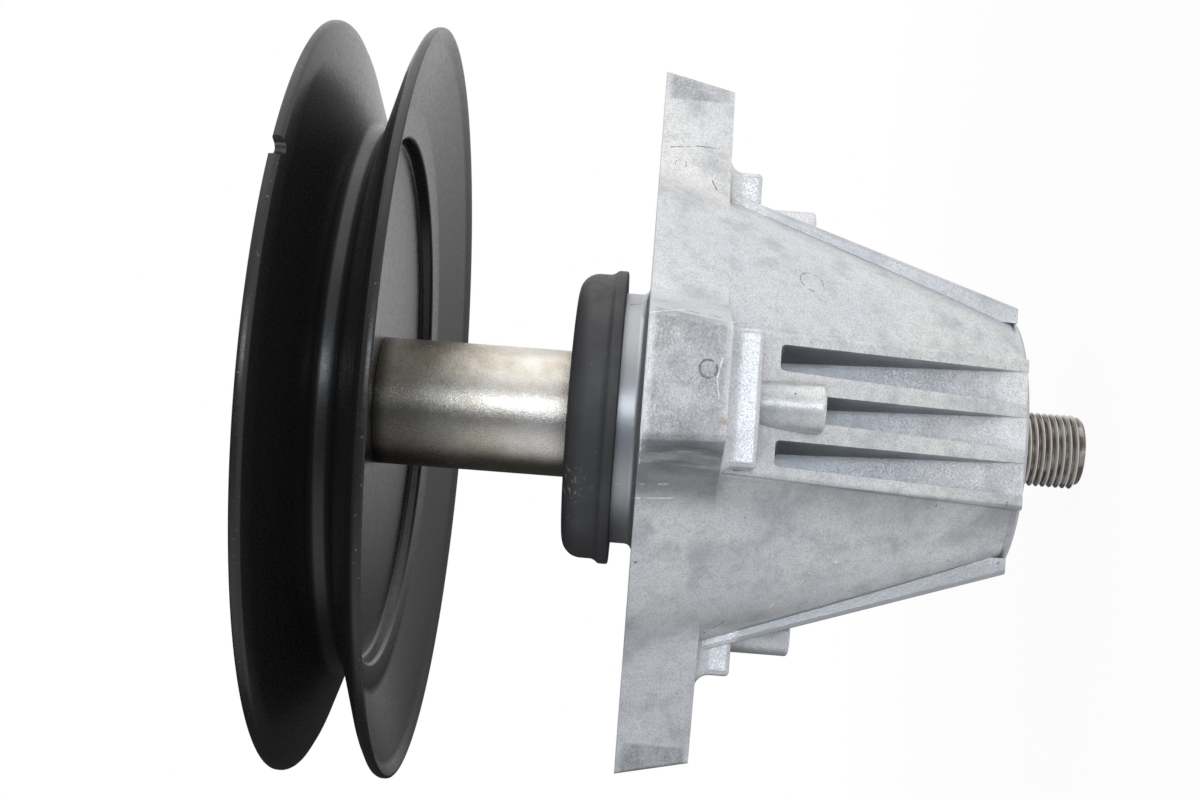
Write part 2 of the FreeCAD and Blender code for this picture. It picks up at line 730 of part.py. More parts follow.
def make_shield():
    """The cup that turns with the shaft and hangs over the pilot collar, with a flared lip."""
    body = new_body("dust_shield")
    ceiling = "(shield_top - shield_wall)"
    skirt = f"({SHIELD_RADIUS} - shield_wall)"
    hub = f"({SHIELD_BORE} + shield_hub_wall)"
    lip_top = "(shield_lip_height + shield_lip_width)"
    flare_top = f"({lip_top} + shield_lip_flare)"
    revolve(body, "shield_section", [
        (SHIELD_BORE, UPPER_BEARING_TOP),
        (hub, UPPER_BEARING_TOP),
        (hub, ceiling),
        (skirt, ceiling),
        (skirt, "shield_lip_height"),
        (SHIELD_LIP_RADIUS, "shield_lip_height"),
        (SHIELD_LIP_RADIUS, lip_top),
        (SHIELD_RADIUS, flare_top),
        (SHIELD_RADIUS, "shield_top"),
        (SHIELD_BORE, "shield_top"),
    ])
    round_edges(body, "shield_crown", "shield_edge_round", is_ring(SHIELD_RADIUS, "shield_top"))
    return body


# Pressed pulley
def make_pulley_half(name, side):
    """One pressed half: flat web, stepped groove floor and slanted wall; side is 1 above, -1 below."""
    body = new_body(name, PULLEY_MIDDLE)
    wall_rise = "(pulley_radius - groove_root_radius) * tan(groove_half_angle)"
    slant_sheet = "(pulley_sheet / cos(groove_half_angle))"
    step_radius = "(groove_root_radius - pulley_sheet)"
    step_height = f"(groove_root_half_width + {slant_sheet} - pulley_sheet * tan(groove_half_angle))"
    rim_inside = f"(groove_root_half_width + {wall_rise})"
    section = [
        ("0", "0"),
        ("groove_root_radius", "0"),
        ("groove_root_radius", "groove_root_half_width"),
        ("pulley_radius", rim_inside),
        ("pulley_radius", f"{rim_inside} + {slant_sheet}"),
        (step_radius, step_height),
        (step_radius, "pulley_sheet"),
        ("0", "pulley_sheet"),
    ]
    revolve(body, f"{name}_section", [(radius, f"{side} * ({height})") for radius, height in section])
    hole_plan = new_sketch(body, f"{name}_hole_plan", "XY_Plane")
    add_double_d(hole_plan, "pulley_seat_radius + pulley_hole_clearance",
                 "pulley_seat_flat + pulley_hole_clearance")
    pocket(body, f"{name}_hole", hole_plan, "pulley_sheet", along_normal=side > 0)
    round_edges(body, f"{name}_floor_bend", "groove_floor_round",
                is_ring("groove_root_radius", f"{side} * groove_root_half_width"))
    round_edges(body, f"{name}_step_bends", "pulley_step_round", any_of(
        is_ring(step_radius, f"{side} * {step_height}"),
        is_ring(step_radius, f"{side} * pulley_sheet"),
    ))
    return body


def notch_rim(body):
    """The half-round bite in the upper half's rim."""
    notch_plan = new_sketch(body, "rim_notch_plan", "XY_Plane")
    centre = ("pulley_radius * cos(rim_notch_angle)", "pulley_radius * sin(rim_notch_angle)")
    add_circle(notch_plan, centre, "rim_notch_radius")
    pocket(body, "rim_notch", notch_plan, "pulley_radius", along_normal=True)
    return body


def add_double_d(sketch, radius, flat):
    """A round hole with two parallel flats, square to the sketch's X axis."""
    span = math.sqrt(size(radius) ** 2 - size(flat) ** 2)
    turn = math.atan2(span, size(flat))
    circle = Part.Circle(FreeCAD.Vector(0, 0, 0), FreeCAD.Vector(0, 0, 1), size(radius))
    sketch.addGeometry(Part.ArcOfCircle(circle, turn, math.pi - turn))
    sketch.addGeometry(Part.LineSegment(
        FreeCAD.Vector(-size(flat), span, 0), FreeCAD.Vector(-size(flat), -span, 0)))
    sketch.addGeometry(Part.ArcOfCircle(circle, math.pi + turn, 2 * math.pi - turn))
    sketch.addGeometry(Part.LineSegment(
        FreeCAD.Vector(size(flat), -span, 0), FreeCAD.Vector(size(flat), span, 0)))
    upper_arc, left_flat, lower_arc, right_flat = range(4)
    for first, second in ((upper_arc, left_flat), (left_flat, lower_arc),
                          (lower_arc, right_flat), (right_flat, upper_arc)):
        sketch.addConstraint(Sketcher.Constraint("Coincident", first, 2, second, 1))
    for line in (left_flat, right_flat):
        sketch.addConstraint(Sketcher.Constraint("Vertical", line))
    for arc in (upper_arc, lower_arc):
        sketch.addConstraint(Sketcher.Constraint("Coincident", arc, 3, -1, 1))
        rule = sketch.addConstraint(Sketcher.Constraint("Radius", arc, size(radius)))
        tie(sketch, f"Constraints[{rule}]", radius)
    for line, sign in ((left_flat, "-"), (right_flat, "")):
        rule = sketch.addConstraint(Sketcher.Constraint("DistanceX", -1, 1, line, 1, size(f"{sign}({flat})")))
        tie(sketch, f"Constraints[{rule}]", f"{sign}({flat})")


# Pulley nut
def make_nut():
    """The flange nut that clamps the pulley: round flange, hexagon and a locking crown."""
    body = new_body("pulley_nut", WEB_TOP)
    bore = "(thread_radius + nut_clearance)"
    hex_top = "(nut_height - nut_crown_height)"
    revolve(body, "nut_flange", [
        (bore, "0"),
        ("nut_flange_radius", "0"),
        ("nut_crown_radius", "nut_flange_height"),
        ("nut_crown_radius", "nut_height"),
        (bore, "nut_height"),
    ])
    hexagon = new_sketch(body, "nut_hexagon", "XY_Plane")
    corner_radius = f"(nut_half_flats / cos({FULL_TURN / HEX_SIDES / 2}))"
    add_outline(hexagon, [
        (f"{corner_radius} * cos({turn})", f"{corner_radius} * sin({turn})")
        for turn in (index * FULL_TURN / HEX_SIDES for index in range(HEX_SIDES))
    ])
    add_circle(hexagon, ("0", "0"), bore)
    pad(body, "nut_wrench_flats", hexagon, hex_top)
    return body


def check(objects):
    """Stop if an object failed, or a piece has no sound solid."""
    for item in doc.Objects:
        if {"Invalid", "Error"} & set(item.State):
            raise RuntimeError(f"{item.Name} failed: {item.State}")
    for item in objects:
        if item.Shape.isNull() or not item.Shape.isValid() or not item.Shape.Solids:
            raise RuntimeError(f"{item.Label} has no sound solid")


pieces = [
    make_housing(),
    make_shaft(),
    make_sleeve("bearing_spacer", "bearing_spacer_radius", SHAFT_COLLAR_TOP, UPPER_BEARING_BASE),
    make_sleeve("pulley_spacer", "pulley_spacer_radius", UPPER_BEARING_TOP, WEB_BASE),
    make_shield(),
    notch_rim(make_pulley_half("pulley_upper_half", 1)),
    make_pulley_half("pulley_lower_half", -1),
    make_nut(),
]
pieces += make_bearing("upper", UPPER_BEARING_BASE)
pieces += make_bearing("lower", LOWER_BEARING_BASE)
doc.recompute()
check(pieces)
os.makedirs("parts", exist_ok=True)
for piece in pieces:
    piece.Shape.exportStep(f"parts/{piece.Label}.step")
    print(f"{piece.Label}: {len(piece.Shape.Solids)} solids, {piece.Shape.Volume:.1f} mm3")
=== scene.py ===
"""Mower deck spindle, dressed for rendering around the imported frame.

The axis is Z, with the pulley up and the blade thread down, as in the frame.
Sizes in the classes are millimetres and angles are degrees; meshes are metres.
"""
import logging
import math
import random
from dataclasses import dataclass
from enum import Enum
from functools import reduce
from typing import Any, Callable, Iterable, List, Optional, Sequence, Tuple, Union

import bmesh
import bpy
from mathutils import Matrix, Vector
from mathutils.bvhtree import BVHTree


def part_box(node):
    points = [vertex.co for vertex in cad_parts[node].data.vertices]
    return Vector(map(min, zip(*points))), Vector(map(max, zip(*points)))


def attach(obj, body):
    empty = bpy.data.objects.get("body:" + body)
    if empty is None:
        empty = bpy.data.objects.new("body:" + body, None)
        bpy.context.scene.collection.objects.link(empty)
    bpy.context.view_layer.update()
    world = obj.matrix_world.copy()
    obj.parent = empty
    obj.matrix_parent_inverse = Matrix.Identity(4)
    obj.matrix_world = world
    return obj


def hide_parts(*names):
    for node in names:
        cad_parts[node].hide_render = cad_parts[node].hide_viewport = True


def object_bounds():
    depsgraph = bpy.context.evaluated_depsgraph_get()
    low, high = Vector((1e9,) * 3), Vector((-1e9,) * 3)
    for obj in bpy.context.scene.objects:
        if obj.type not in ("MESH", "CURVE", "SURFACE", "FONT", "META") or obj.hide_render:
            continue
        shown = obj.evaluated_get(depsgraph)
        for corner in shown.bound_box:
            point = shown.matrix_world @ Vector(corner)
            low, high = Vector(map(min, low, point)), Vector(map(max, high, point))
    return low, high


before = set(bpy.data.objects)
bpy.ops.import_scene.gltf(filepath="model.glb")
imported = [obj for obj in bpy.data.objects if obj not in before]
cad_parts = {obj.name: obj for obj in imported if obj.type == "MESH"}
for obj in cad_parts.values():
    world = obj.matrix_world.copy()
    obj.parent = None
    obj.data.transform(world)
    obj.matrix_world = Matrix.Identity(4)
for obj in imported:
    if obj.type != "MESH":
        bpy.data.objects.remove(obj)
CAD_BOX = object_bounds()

log = logging.getLogger("spindle")

MM = 0.001
FULL_TURN = 2.0 * math.pi
WELD = 1e-7

Triple = Tuple[float, float, float]
Colour = Triple
Span = Tuple[float, float]
Pixel = Tuple[float, float]
Mesh = bmesh.types.BMesh
Material = bpy.types.Material
Socket = bpy.types.NodeSocket
Value = Union[float, Socket]
Tint = Union[Colour, Socket]

WHITE: Colour = (1.0, 1.0, 1.0)


class Body(Enum):
    """The frame's moving bodies."""

    HOUSING = "housing"
    ROTOR = "rotor"


class Slot(Enum):
    """The record's material slot names; nothing in this script gives a piece one."""

    CASTING = "cast_aluminium"
    PAINT = "pulley_paint"
    SPACER = "spacer_steel"
    SHAFT = "shaft_steel"
    SHIELD = "shield_rubber"
    NUT = "nut_zinc"
    SEAL = "seal_rubber"


class Mix(Enum):
    """What a mix node mixes: the node's data type and its sockets' type."""

    COLOUR = ("RGBA", "RGBA")
    NUMBER = ("FLOAT", "VALUE")
    NORMAL = ("VECTOR", "VECTOR")


# Shader building


@dataclass(frozen=True)
class Patches:
    """Noise stepped into patches.

    The cells per metre and octaves come first, then where the step starts and ends, then its lowest and
    highest result. A stretch makes streaks: cells per metre along each axis, after a turn in degrees.
    """

    scale: float
    detail: float
    low: float
    high: float
    least: float = 0.0
    most: float = 1.0
    rough: float = 0.55
    stretch: Optional[Triple] = None
    turn: Triple = (0.0, 0.0, 0.0)


@dataclass(frozen=True)
class Bumps:
    """Noise as relief: cells per metre, octaves, depth in millimetres, share of it that shows, and a stretch."""

    scale: float
    detail: float
    depth: float
    share: float
    stretch: Optional[Triple] = None


class Graph:
    """A node tree, with short methods for the nodes that the finishes and the studio use."""

    def __init__(self, owner: Union[Material, bpy.types.World], coordinates: str = "Object") -> None:
        """Empty the owner's node tree and pick its coordinates.

        Args:
            owner: A material or a world.
            coordinates: The coordinates that patterns lie on.
        """
        owner.use_nodes = True
        self.tree = owner.node_tree
        self.tree.nodes.clear()
        self.place = self.node("TexCoord").outputs[coordinates]

    def node(self, kind: str, *values: Any, **settings: Any) -> bpy.types.Node:
        """Add a node.

        Args:
            kind: Its type, without the common prefix.
            values: What its sockets are fed, in their order, with None for one that stays as it is.
            settings: Its properties.

        Returns:
            The node.
        """
        node = self.tree.nodes.new("ShaderNode" + kind)
        for name, value in settings.items():
            setattr(node, name, value)
        for socket, value in zip(node.inputs, values):
            self.feed(socket, value)
        return node

    def feed(self, target: Socket, value: Any) -> None:
        """Put a number, a vector, a colour or a link on a socket; None leaves it as it is.

        Args:
            target: The socket.
            value: What it is given.
        """
        if isinstance(value, bpy.types.NodeSocket):
            self.tree.links.new(value, target)
        elif value is not None:
            target.default_value = (*value, 1.0) if target.type == "RGBA" else value

    def close(self, kind: str, surface: Socket) -> None:
        """Link a shader to the output of a Material or World."""
        self.node("Output" + kind, surface)

    def plain(self, kind: str, colour: Tint) -> Socket:
        """A shader of one kind, in one colour."""
        return self.node(kind, colour).outputs[0]

    def choice(self, factor: Value, first: Socket, second: Socket) -> Socket:
        """The first shader, or the second where the factor is 1."""
        return self.node("MixShader", factor, first, second).outputs["Shader"]

    def noise(self, scale: float, detail: float, rough: float = 0.55, stretch: Optional[Triple] = None,
              turn: Triple = (0.0, 0.0, 0.0)) -> Socket:
        """Cloudy noise.

        Args:
            scale: Cells per metre, or a factor on the stretch.
            detail: Octaves.
            rough: Weight of the finer octaves.
            stretch: Cells per metre along each axis.
            turn: Turn about each axis before the stretch, in degrees.

        Returns:
            The noise, about 0.5 on average.
        """
        vector = self.place
        if stretch:
            angles, cells = [math.radians(angle) for angle in turn], [1.0 / factor for factor in stretch]
            vector = self.node("Mapping", vector, None, angles, cells, vector_type="TEXTURE").outputs["Vector"]
        return self.node("TexNoise", vector, None, scale, detail, rough).outputs["Fac"]

    def patches(self, patches: Patches) -> Socket:
        """Noise stepped into patches."""
        noise = self.noise(patches.scale, patches.detail, patches.rough, patches.stretch, patches.turn)
        return self.step(noise, patches.low, patches.high, patches.least, patches.most)

    def step(self, value: Value, low: float, high: float, least: float = 0.0, most: float = 1.0) -> Socket:
        """A smooth step, from the least where the value is low to the most where it is high."""
        return self.node("MapRange", value, low, high, least, most, interpolation_type="SMOOTHSTEP").outputs["Result"]

    def band(self, value: Value, span: Span, least: float = 0.0, most: float = 1.0) -> Socket:
        """A smooth step between two millimetre values."""
        return self.step(value, span[0] * MM, span[1] * MM, least, most)

    def calc(self, operation: str, first: Value, second: Value = 0.0) -> Socket:
        """One step of arithmetic, by the name of a Math node's operation."""
        return self.node("Math", first, second, operation=operation).outputs["Value"]

    def times(self, *values: Value) -> Socket:
        """The product of two or more values."""
        return reduce(lambda first, second: self.calc("MULTIPLY", first, second), values)

    def mix(self, kind: Mix, factor: Value, first: Union[Value, Tint], second: Union[Value, Tint]) -> Socket:
        """A mix of two colours, numbers or normals.

        Args:
            kind: What is mixed.
            factor: Share of the second.
            first: The result at 0.
            second: The result at 1.

        Returns:
            The mix.
        """
        data_type, socket_type = kind.value
        node = self.node("Mix", factor, data_type=data_type)
        pair = [socket for socket in node.inputs if socket.type == socket_type and socket.name in ("A", "B")]
        for target, value in zip(pair, (first, second)):
            self.feed(target, value)
        return next(socket for socket in node.outputs if socket.type == socket_type)

    def blend(self, factor: Value, first: Tint, second: Tint) -> Socket:
        """A mix of two colours."""
        return self.mix(Mix.COLOUR, factor, first, second)

    def lerp(self, factor: Value, first: Value, second: Value) -> Socket:
        """A mix of two numbers."""
        return self.mix(Mix.NUMBER, factor, first, second)

    def along(self, axis: str) -> Socket:
        """The place along one axis, in metres."""
        return self.node("SeparateXYZ", self.place).outputs[axis]

    def radius(self) -> Socket:
        """The distance from the spindle's axis, in metres."""
        flat = self.node("VectorMath", self.place, (1.0, 1.0, 0.0), operation="MULTIPLY").outputs["Vector"]
        return self.node("VectorMath", flat, operation="LENGTH").outputs["Value"]

    def distance(self, place: Sequence[float]) -> Socket:
        """The distance from a place, both in metres."""
        return self.node("VectorMath", self.place, place, operation="DISTANCE").outputs["Value"]

    def spot(self, place: Triple, reach: Span) -> Socket:
        """1 round a place out to the first radius, and 0 beyond the second; all in millimetres."""
        return self.band(self.distance([value * MM for value in place]), reach, 1.0, 0.0)

    def hollow(self, reach: float, samples: int = 6) -> Socket:
        """How shut in a place is by faces within a reach in millimetres: 0 in the open, 1 in a deep corner."""
        open_share = self.node("AmbientOcclusion", None, reach * MM, samples=samples).outputs["AO"]
        return self.calc("SUBTRACT", 1.0, open_share)

    def relief(self, height: Socket, depth: float, share: float, under: Optional[Socket] = None) -> Socket:
        """A bumped normal.

        Args:
            height: The height pattern, from 0 to 1.
            depth: What 1 stands for, in millimetres.
            share: Share of the bump that shows.
            under: A normal that the bump is laid on.

        Returns:
            The bumped normal.
        """
        node = self.node("Bump")
        for socket, value in (("Strength", share), ("Distance", depth * MM), ("Height", height), ("Normal", under)):
            self.feed(node.inputs[socket], value)
        return node.outputs["Normal"]

    def bumps(self, bumps: Bumps, under: Optional[Socket] = None) -> Socket:
        """A normal bumped by noise."""
        noise = self.noise(bumps.scale, bumps.detail, stretch=bumps.stretch)
        return self.relief(noise, bumps.depth, bumps.share, under)


class Shader(Graph):
    """A material with one principled shader."""

    def __init__(self, name: str) -> None:
        """Start the material.

        Args:
            name: Its name.
        """
        self.material = bpy.data.materials.new(name)
        super().__init__(self.material)
        self.surface = self.node("BsdfPrincipled")
        self.close("Material", self.surface.outputs["BSDF"])

    def set(self, socket: str, value: Union[Value, Tint]) -> None:
        """Give one of the shader's sockets a value or a link."""
        self.feed(self.surface.inputs[socket], value)


# Finishes


@dataclass(frozen=True)
class CastAluminium:
    """As-cast skin with stains, grain and pits, and turned bands at the collar, flange face and nose, with shade
    painted below the ribs, on the ribs' side walls and in the hollows.
    """

    cool: Colour = (0.735, 0.75, 0.78)
    warm: Colour = (0.85, 0.845, 0.83)
    # Random stain tone, also the colour of the painted shade on the ribs' side walls.
    stain_and_shade: Colour = (0.40, 0.41, 0.43)
    speck: Colour = (0.24, 0.245, 0.255)
    turned: Colour = (0.54, 0.55, 0.57)
    pit: Colour = (0.10, 0.10, 0.10)
    rust: Colour = (0.30, 0.17, 0.06)
    # Colour of the darker streaky patch on the front ear's lower side.
    under_ear_dark: Colour = (0.20, 0.195, 0.19)
    # Colour of the painted shade below the ribs.
    painted_shade: Colour = (0.26, 0.26, 0.26)
    # Colour of the painted shade in the hollows.
    hollow_shade: Colour = (0.25, 0.262, 0.29)
    metallic: Span = (0.62, 0.8)
    cast_gloss: Span = (0.34, 0.50)
    turned_gloss: float = 0.38
    clouds: Patches = Patches(26.0, 4.0, 0.34, 0.66)
    blotches: Patches = Patches(120.0, 5.0, 0.46, 0.74, 0.0, 0.58)
    mottle: Patches = Patches(420.0, 5.0, 0.44, 0.70, 0.0, 0.34, rough=0.75)
    specks: Patches = Patches(3300.0, 2.0, 0.38, 0.70)
    speck_share: float = 0.38
    pits: Patches = Patches(430.0, 3.0, 0.745, 0.765)
    pit_share: float = 0.75
    crust_patches: Patches = Patches(150.0, 4.0, 0.32, 0.60, 0.45)
    crust_grains: Patches = Patches(1800.0, 3.0, 0.34, 0.66, 0.50, rough=0.7)
    crust_share: float = 0.78
    crust_relief: Span = (0.05, 0.7)
    ear_radius: float = 69.6
    ear_edge: float = 0.8
    ear_base: float = -14.9
    ear_margin: float = 1.8
    ear_fade: float = 0.3
    # Where the darker streaky patch under the front ear lies, and its streaks.
    under_ear_place: Triple = (-11.0, -64.0, -8.0)
    under_ear_reach: Span = (5.5, 10.5)
    under_ear_streaks: Patches = Patches(1.0, 4.0, 0.38, 0.66, 0.15, 0.75, stretch=(900.0, 160.0, 90.0))
    rust_place: Triple = (-6.9, -71.6, -14.3)
    rust_reach: Span = (0.2, 1.3)
    rust_grain: Span = (900.0, 2.0)
    # Where the painted shade below the ribs lies across X, and its patches.
    rib_shade_start: Span = (-25.0, -15.5)
    rib_shade_end: Span = (-14.6, -14.2)
    rib_shade_patches: Patches = Patches(90.0, 5.0, 0.30, 0.70, 0.30, 0.72)
    # Where the painted shade on the ribs' side walls lies, and how strong it is on the lower and upper rib.
    wall_side: Span = (13.6, 15.4)
    wall_edge: float = 0.3
    wall_start: Span = (8.0, 12.0)
    wall_top: Span = (-24.0, -22.0)
    wall_shade_shares: Span = (0.80, 0.36)
    rib_sides: Span = (-1.0, 1.0)
    # How far the painted shade in the hollows looks for faces, how it steps up, and how it thins near the nose.
    hollow_reach: float = 7.0
    hollow_step: Span = (0.12, 0.70)
    hollow_shade_share: float = 0.72
    hollow_shade_start: Span = (2.0, 8.0)
    nose_share: float = 0.1
    flange_height: float = -0.15
    nose_height: float = -76.9
    turned_edge: float = 0.05
    lumps: Bumps = Bumps(170.0, 3.0, 0.16, 0.45)
    grain: Bumps = Bumps(1900.0, 2.0, 0.07, 0.8)
    tool_rings: Bumps = Bumps(1.0, 2.0, 0.012, 0.6, (60.0, 60.0, 5200.0))

    def material(self) -> Material:
        """Build the casting's material.

        Returns:
            The material.
        """
        shader = Shader("cast_aluminium_skin")
        height = shader.along("Z")
        specks, pits = shader.patches(self.specks), shader.patches(self.pits)
        crust, turned_band = self._crust(shader, height), self._turned_band(shader, height)
        # A darker streaky patch on the front ear's lower side.
        under_ear = shader.times(shader.spot(self.under_ear_place, self.under_ear_reach), shader.patches(self.under_ear_streaks))
        rusty = shader.times(shader.spot(self.rust_place, self.rust_reach), shader.noise(*self.rust_grain))
        layers = (
            (shader.patches(self.blotches), self.stain_and_shade),
            (shader.patches(self.mottle), self.stain_and_shade),
            (shader.times(specks, self.speck_share), self.speck),
            (shader.times(crust, self.crust_share), self.speck),
            (shader.times(pits, self.pit_share), self.pit),
            (under_ear, self.under_ear_dark),
            # painted shade below the ribs
            (self._painted_rib_shade(shader), self.painted_shade),
            # painted shade on the ribs' side walls
            (self._painted_wall_shade(shader, height), self.stain_and_shade),
            # painted shade in the hollows
            (self._painted_hollow_shade(shader, height), self.hollow_shade),
            (rusty, self.rust),
        )
        skin = shader.blend(shader.patches(self.clouds), self.cool, self.warm)
        for share, colour in layers:
            skin = shader.blend(share, skin, colour)
        shader.set("Base Color", shader.blend(turned_band, skin, self.turned))
        shader.set("Metallic", shader.lerp(turned_band, *self.metallic))
        gloss = shader.lerp(specks, *self.cast_gloss)
        shader.set("Roughness", shader.lerp(turned_band, gloss, self.turned_gloss))
        crusty = shader.relief(crust, *self.crust_relief, shader.bumps(self.lumps))
        grain = shader.calc("SUBTRACT", shader.noise(self.grain.scale, self.grain.detail), pits)
        rough = shader.relief(grain, self.grain.depth, self.grain.share, crusty)
        shader.set("Normal", shader.mix(Mix.NORMAL, turned_band, rough, shader.bumps(self.tool_rings)))
        return shader.material

    def _turned_band(self, shader: Shader, height: Socket) -> Socket:
        """The turned faces: the flange face with the collar above it, and the nose.

        Args:
            shader: The casting's nodes.
            height: The height along the axis, in metres.

        Returns:
            1 on a turned face.
        """
        above = shader.band(height, (self.flange_height - self.turned_edge, self.flange_height))
        below = shader.band(height, (self.nose_height - self.turned_edge, self.nose_height), 1.0, 0.0)
        return shader.calc("MAXIMUM", above, below)

    def _painted_rib_shade(self, shader: Shader) -> Socket:
        """Painted shade: a patchy dark band on the lower side of the ribs, fading down the cone.

        Args:
            shader: The casting's nodes.

        Returns:
            The grime's share.
        """
        across = shader.along("X")
        return shader.times(
            shader.band(across, self.rib_shade_start),
            shader.band(across, self.rib_shade_end, 1.0, 0.0),
            shader.patches(self.rib_shade_patches),
        )

    def _painted_wall_shade(self, shader: Shader, height: Socket) -> Socket:
        """Painted shade on the side walls of the ribs that lie along X, darker on the lower rib.

        Args:
            shader: The casting's nodes.
            height: The height along the axis, in metres.

        Returns:
            The painted shade's share.
        """
        across, side = shader.along("X"), shader.calc("ABSOLUTE", shader.along("Y"))
        ahead = shader.calc("SUBTRACT", shader.calc("ABSOLUTE", across), side)
        near, far = self.wall_side
        return shader.times(
            shader.band(side, (near, near + self.wall_edge)),
            shader.band(side, (far, far + self.wall_edge), 1.0, 0.0),
            shader.band(ahead, self.wall_start),
            shader.band(height, self.wall_top, 1.0, 0.0),
            shader.band(across, self.rib_sides, *self.wall_shade_shares),
        )

    def _painted_hollow_shade(self, shader: Shader, height: Socket) -> Socket:
        """Painted shade in the hollows, which thins out near the nose.

        Args:
            shader: The casting's nodes.
            height: The height along the axis, in metres.

        Returns:
            The painted shade's share.
        """
        start, end = (self.nose_height + offset for offset in self.hollow_shade_start)
        return shader.times(
            shader.step(shader.hollow(self.hollow_reach), *self.hollow_step, 0.0, self.hollow_shade_share),
            shader.band(height, (start, end), self.nose_share, 1.0),
        )

    def _crust(self, shader: Shader, height: Socket) -> Socket:
        """The coarse granular skin inside the margins of the ears' end faces.

        Args:
            shader: The casting's nodes.
            height: The height along the axis, in metres.

        Returns:
            The crust's share.
        """
        return shader.times(
            shader.band(shader.radius(), (self.ear_radius - self.ear_edge, self.ear_radius)),
            shader.band(height, (-self.ear_margin, -self.ear_fade * self.ear_margin), 1.0, 0.0),
            shader.band(height, (self.ear_base, self.ear_base + self.ear_margin)),
            shader.patches(self.crust_patches),
            shader.patches(self.crust_grains),
        )


@dataclass(frozen=True)
class BlackPaint:
    """Satin black paint on pressed steel, with small chips along the rim."""

    paint: Colour = (0.010, 0.010, 0.0104)
    dust: Colour = (0.060, 0.058, 0.055)
    steel: Colour = (0.20, 0.18, 0.165)
    rim: float = 79.4
    rim_edge: float = 0.25
    dust_grains: Patches = Patches(2400.0, 2.0, 0.60, 0.78, 0.0, 0.22)
    flakes: Patches = Patches(1500.0, 3.0, 0.68, 0.71)
    gloss: Patches = Patches(900.0, 3.0, 0.3, 0.7, 0.25, 0.32)
    chip_gloss: float = 0.45
    chip_relief: Span = (0.06, 0.5)
    peel: Bumps = Bumps(1100.0, 2.0, 0.016, 0.5)

    def material(self) -> Material:
        """Build the pulley's material.

        Returns:
            The material.
        """
        shader = Shader("satin_black_paint")
        paint = shader.blend(shader.patches(self.dust_grains), self.paint, self.dust)
        at_rim = shader.band(shader.radius(), (self.rim - self.rim_edge, self.rim))
        chips = shader.times(at_rim, shader.patches(self.flakes))
        shader.set("Base Color", shader.blend(chips, paint, self.steel))
        shader.set("Metallic", chips)
        shader.set("Roughness", shader.lerp(chips, shader.patches(self.gloss), self.chip_gloss))
        shader.set("Normal", shader.relief(chips, *self.chip_relief, shader.bumps(self.peel)))
        return shader.material


@dataclass(frozen=True)
class TumbledSteel:
    """Grey-brown steel with short bright nicks that lie every way, with shade painted where it meets the pulley."""

    metal: Colour = (0.73, 0.70, 0.65)
    brown: Colour = (0.38, 0.315, 0.215)
    # Colour of the painted shade where the tube meets the pulley.
    painted_shade: Colour = (0.05, 0.046, 0.042)
    tarnish: Patches = Patches(60.0, 6.0, 0.34, 0.66, 0.0, 0.72, rough=0.62)
    end_shade_rise: Span = (52.6, 56.0)
    end_shade_share: float = 0.85
    nick_scale: float = 4200.0
    nick_detail: float = 3.0
    nick_stretch: Triple = (5800.0, 1500.0, 5800.0)
    lays: Tuple[Triple, ...] = ((12, 35, 20), (70, -20, 55), (-40, 60, 110), (25, -65, -30))
    nick_step: Span = (0.50, 0.74)
    gloss: Span = (0.32, 0.17)
    nick_relief: Span = (0.055, 1.0)

    def material(self) -> Material:
        """Build the spacer tube's material.

        Returns:
            The material.
        """
        shader = Shader("tumbled_steel")
        colour = shader.blend(shader.patches(self.tarnish), self.metal, self.brown)
        # Painted shade: darker towards the pulley's web.
        end_shade = shader.band(shader.along("Z"), self.end_shade_rise, 0.0, self.end_shade_share)
        shader.set("Base Color", shader.blend(end_shade, colour, self.painted_shade))
        shader.set("Metallic", 1.0)
        nicks = shader.noise(self.nick_scale, self.nick_detail)
        for lay in self.lays:
            streak = shader.noise(1.0, self.nick_detail, stretch=self.nick_stretch, turn=lay)
            nicks = shader.calc("MAXIMUM", nicks, streak)
        shader.set("Roughness", shader.step(nicks, *self.nick_step, *self.gloss))
        shader.set("Normal", shader.relief(nicks, *self.nick_relief))
        return shader.material


@dataclass(frozen=True)
class TurnedSteel:
    """Turned shaft steel, dark and lightly rusted down in the thread."""

    metal: Colour = (0.66, 0.64, 0.61)
    rust: Colour = (0.095, 0.060, 0.037)
    thread: Span = (7.05, 7.80)
    rust_patches: Patches = Patches(260.0, 5.0, 0.30, 0.62, 0.35, 0.95)
    rust_dulling: float = 0.6
    gloss: Span = (0.28, 0.60)
    tool_marks: Bumps = Bumps(1600.0, 3.0, 0.012, 0.6)

    def material(self) -> Material:
        """Build the shaft's material.

        Returns:
            The material.
        """
        shader = Shader("turned_steel")
        low = shader.band(shader.radius(), self.thread, 1.0, 0.0)
        rusty = shader.times(low, shader.patches(self.rust_patches))
        shader.set("Base Color", shader.blend(rusty, self.metal, self.rust))
        shader.set("Metallic", shader.calc("SUBTRACT", 1.0, shader.times(rusty, self.rust_dulling)))
        shader.set("Roughness", shader.lerp(rusty, *self.gloss))
        shader.set("Normal", shader.bumps(self.tool_marks))
        return shader.material


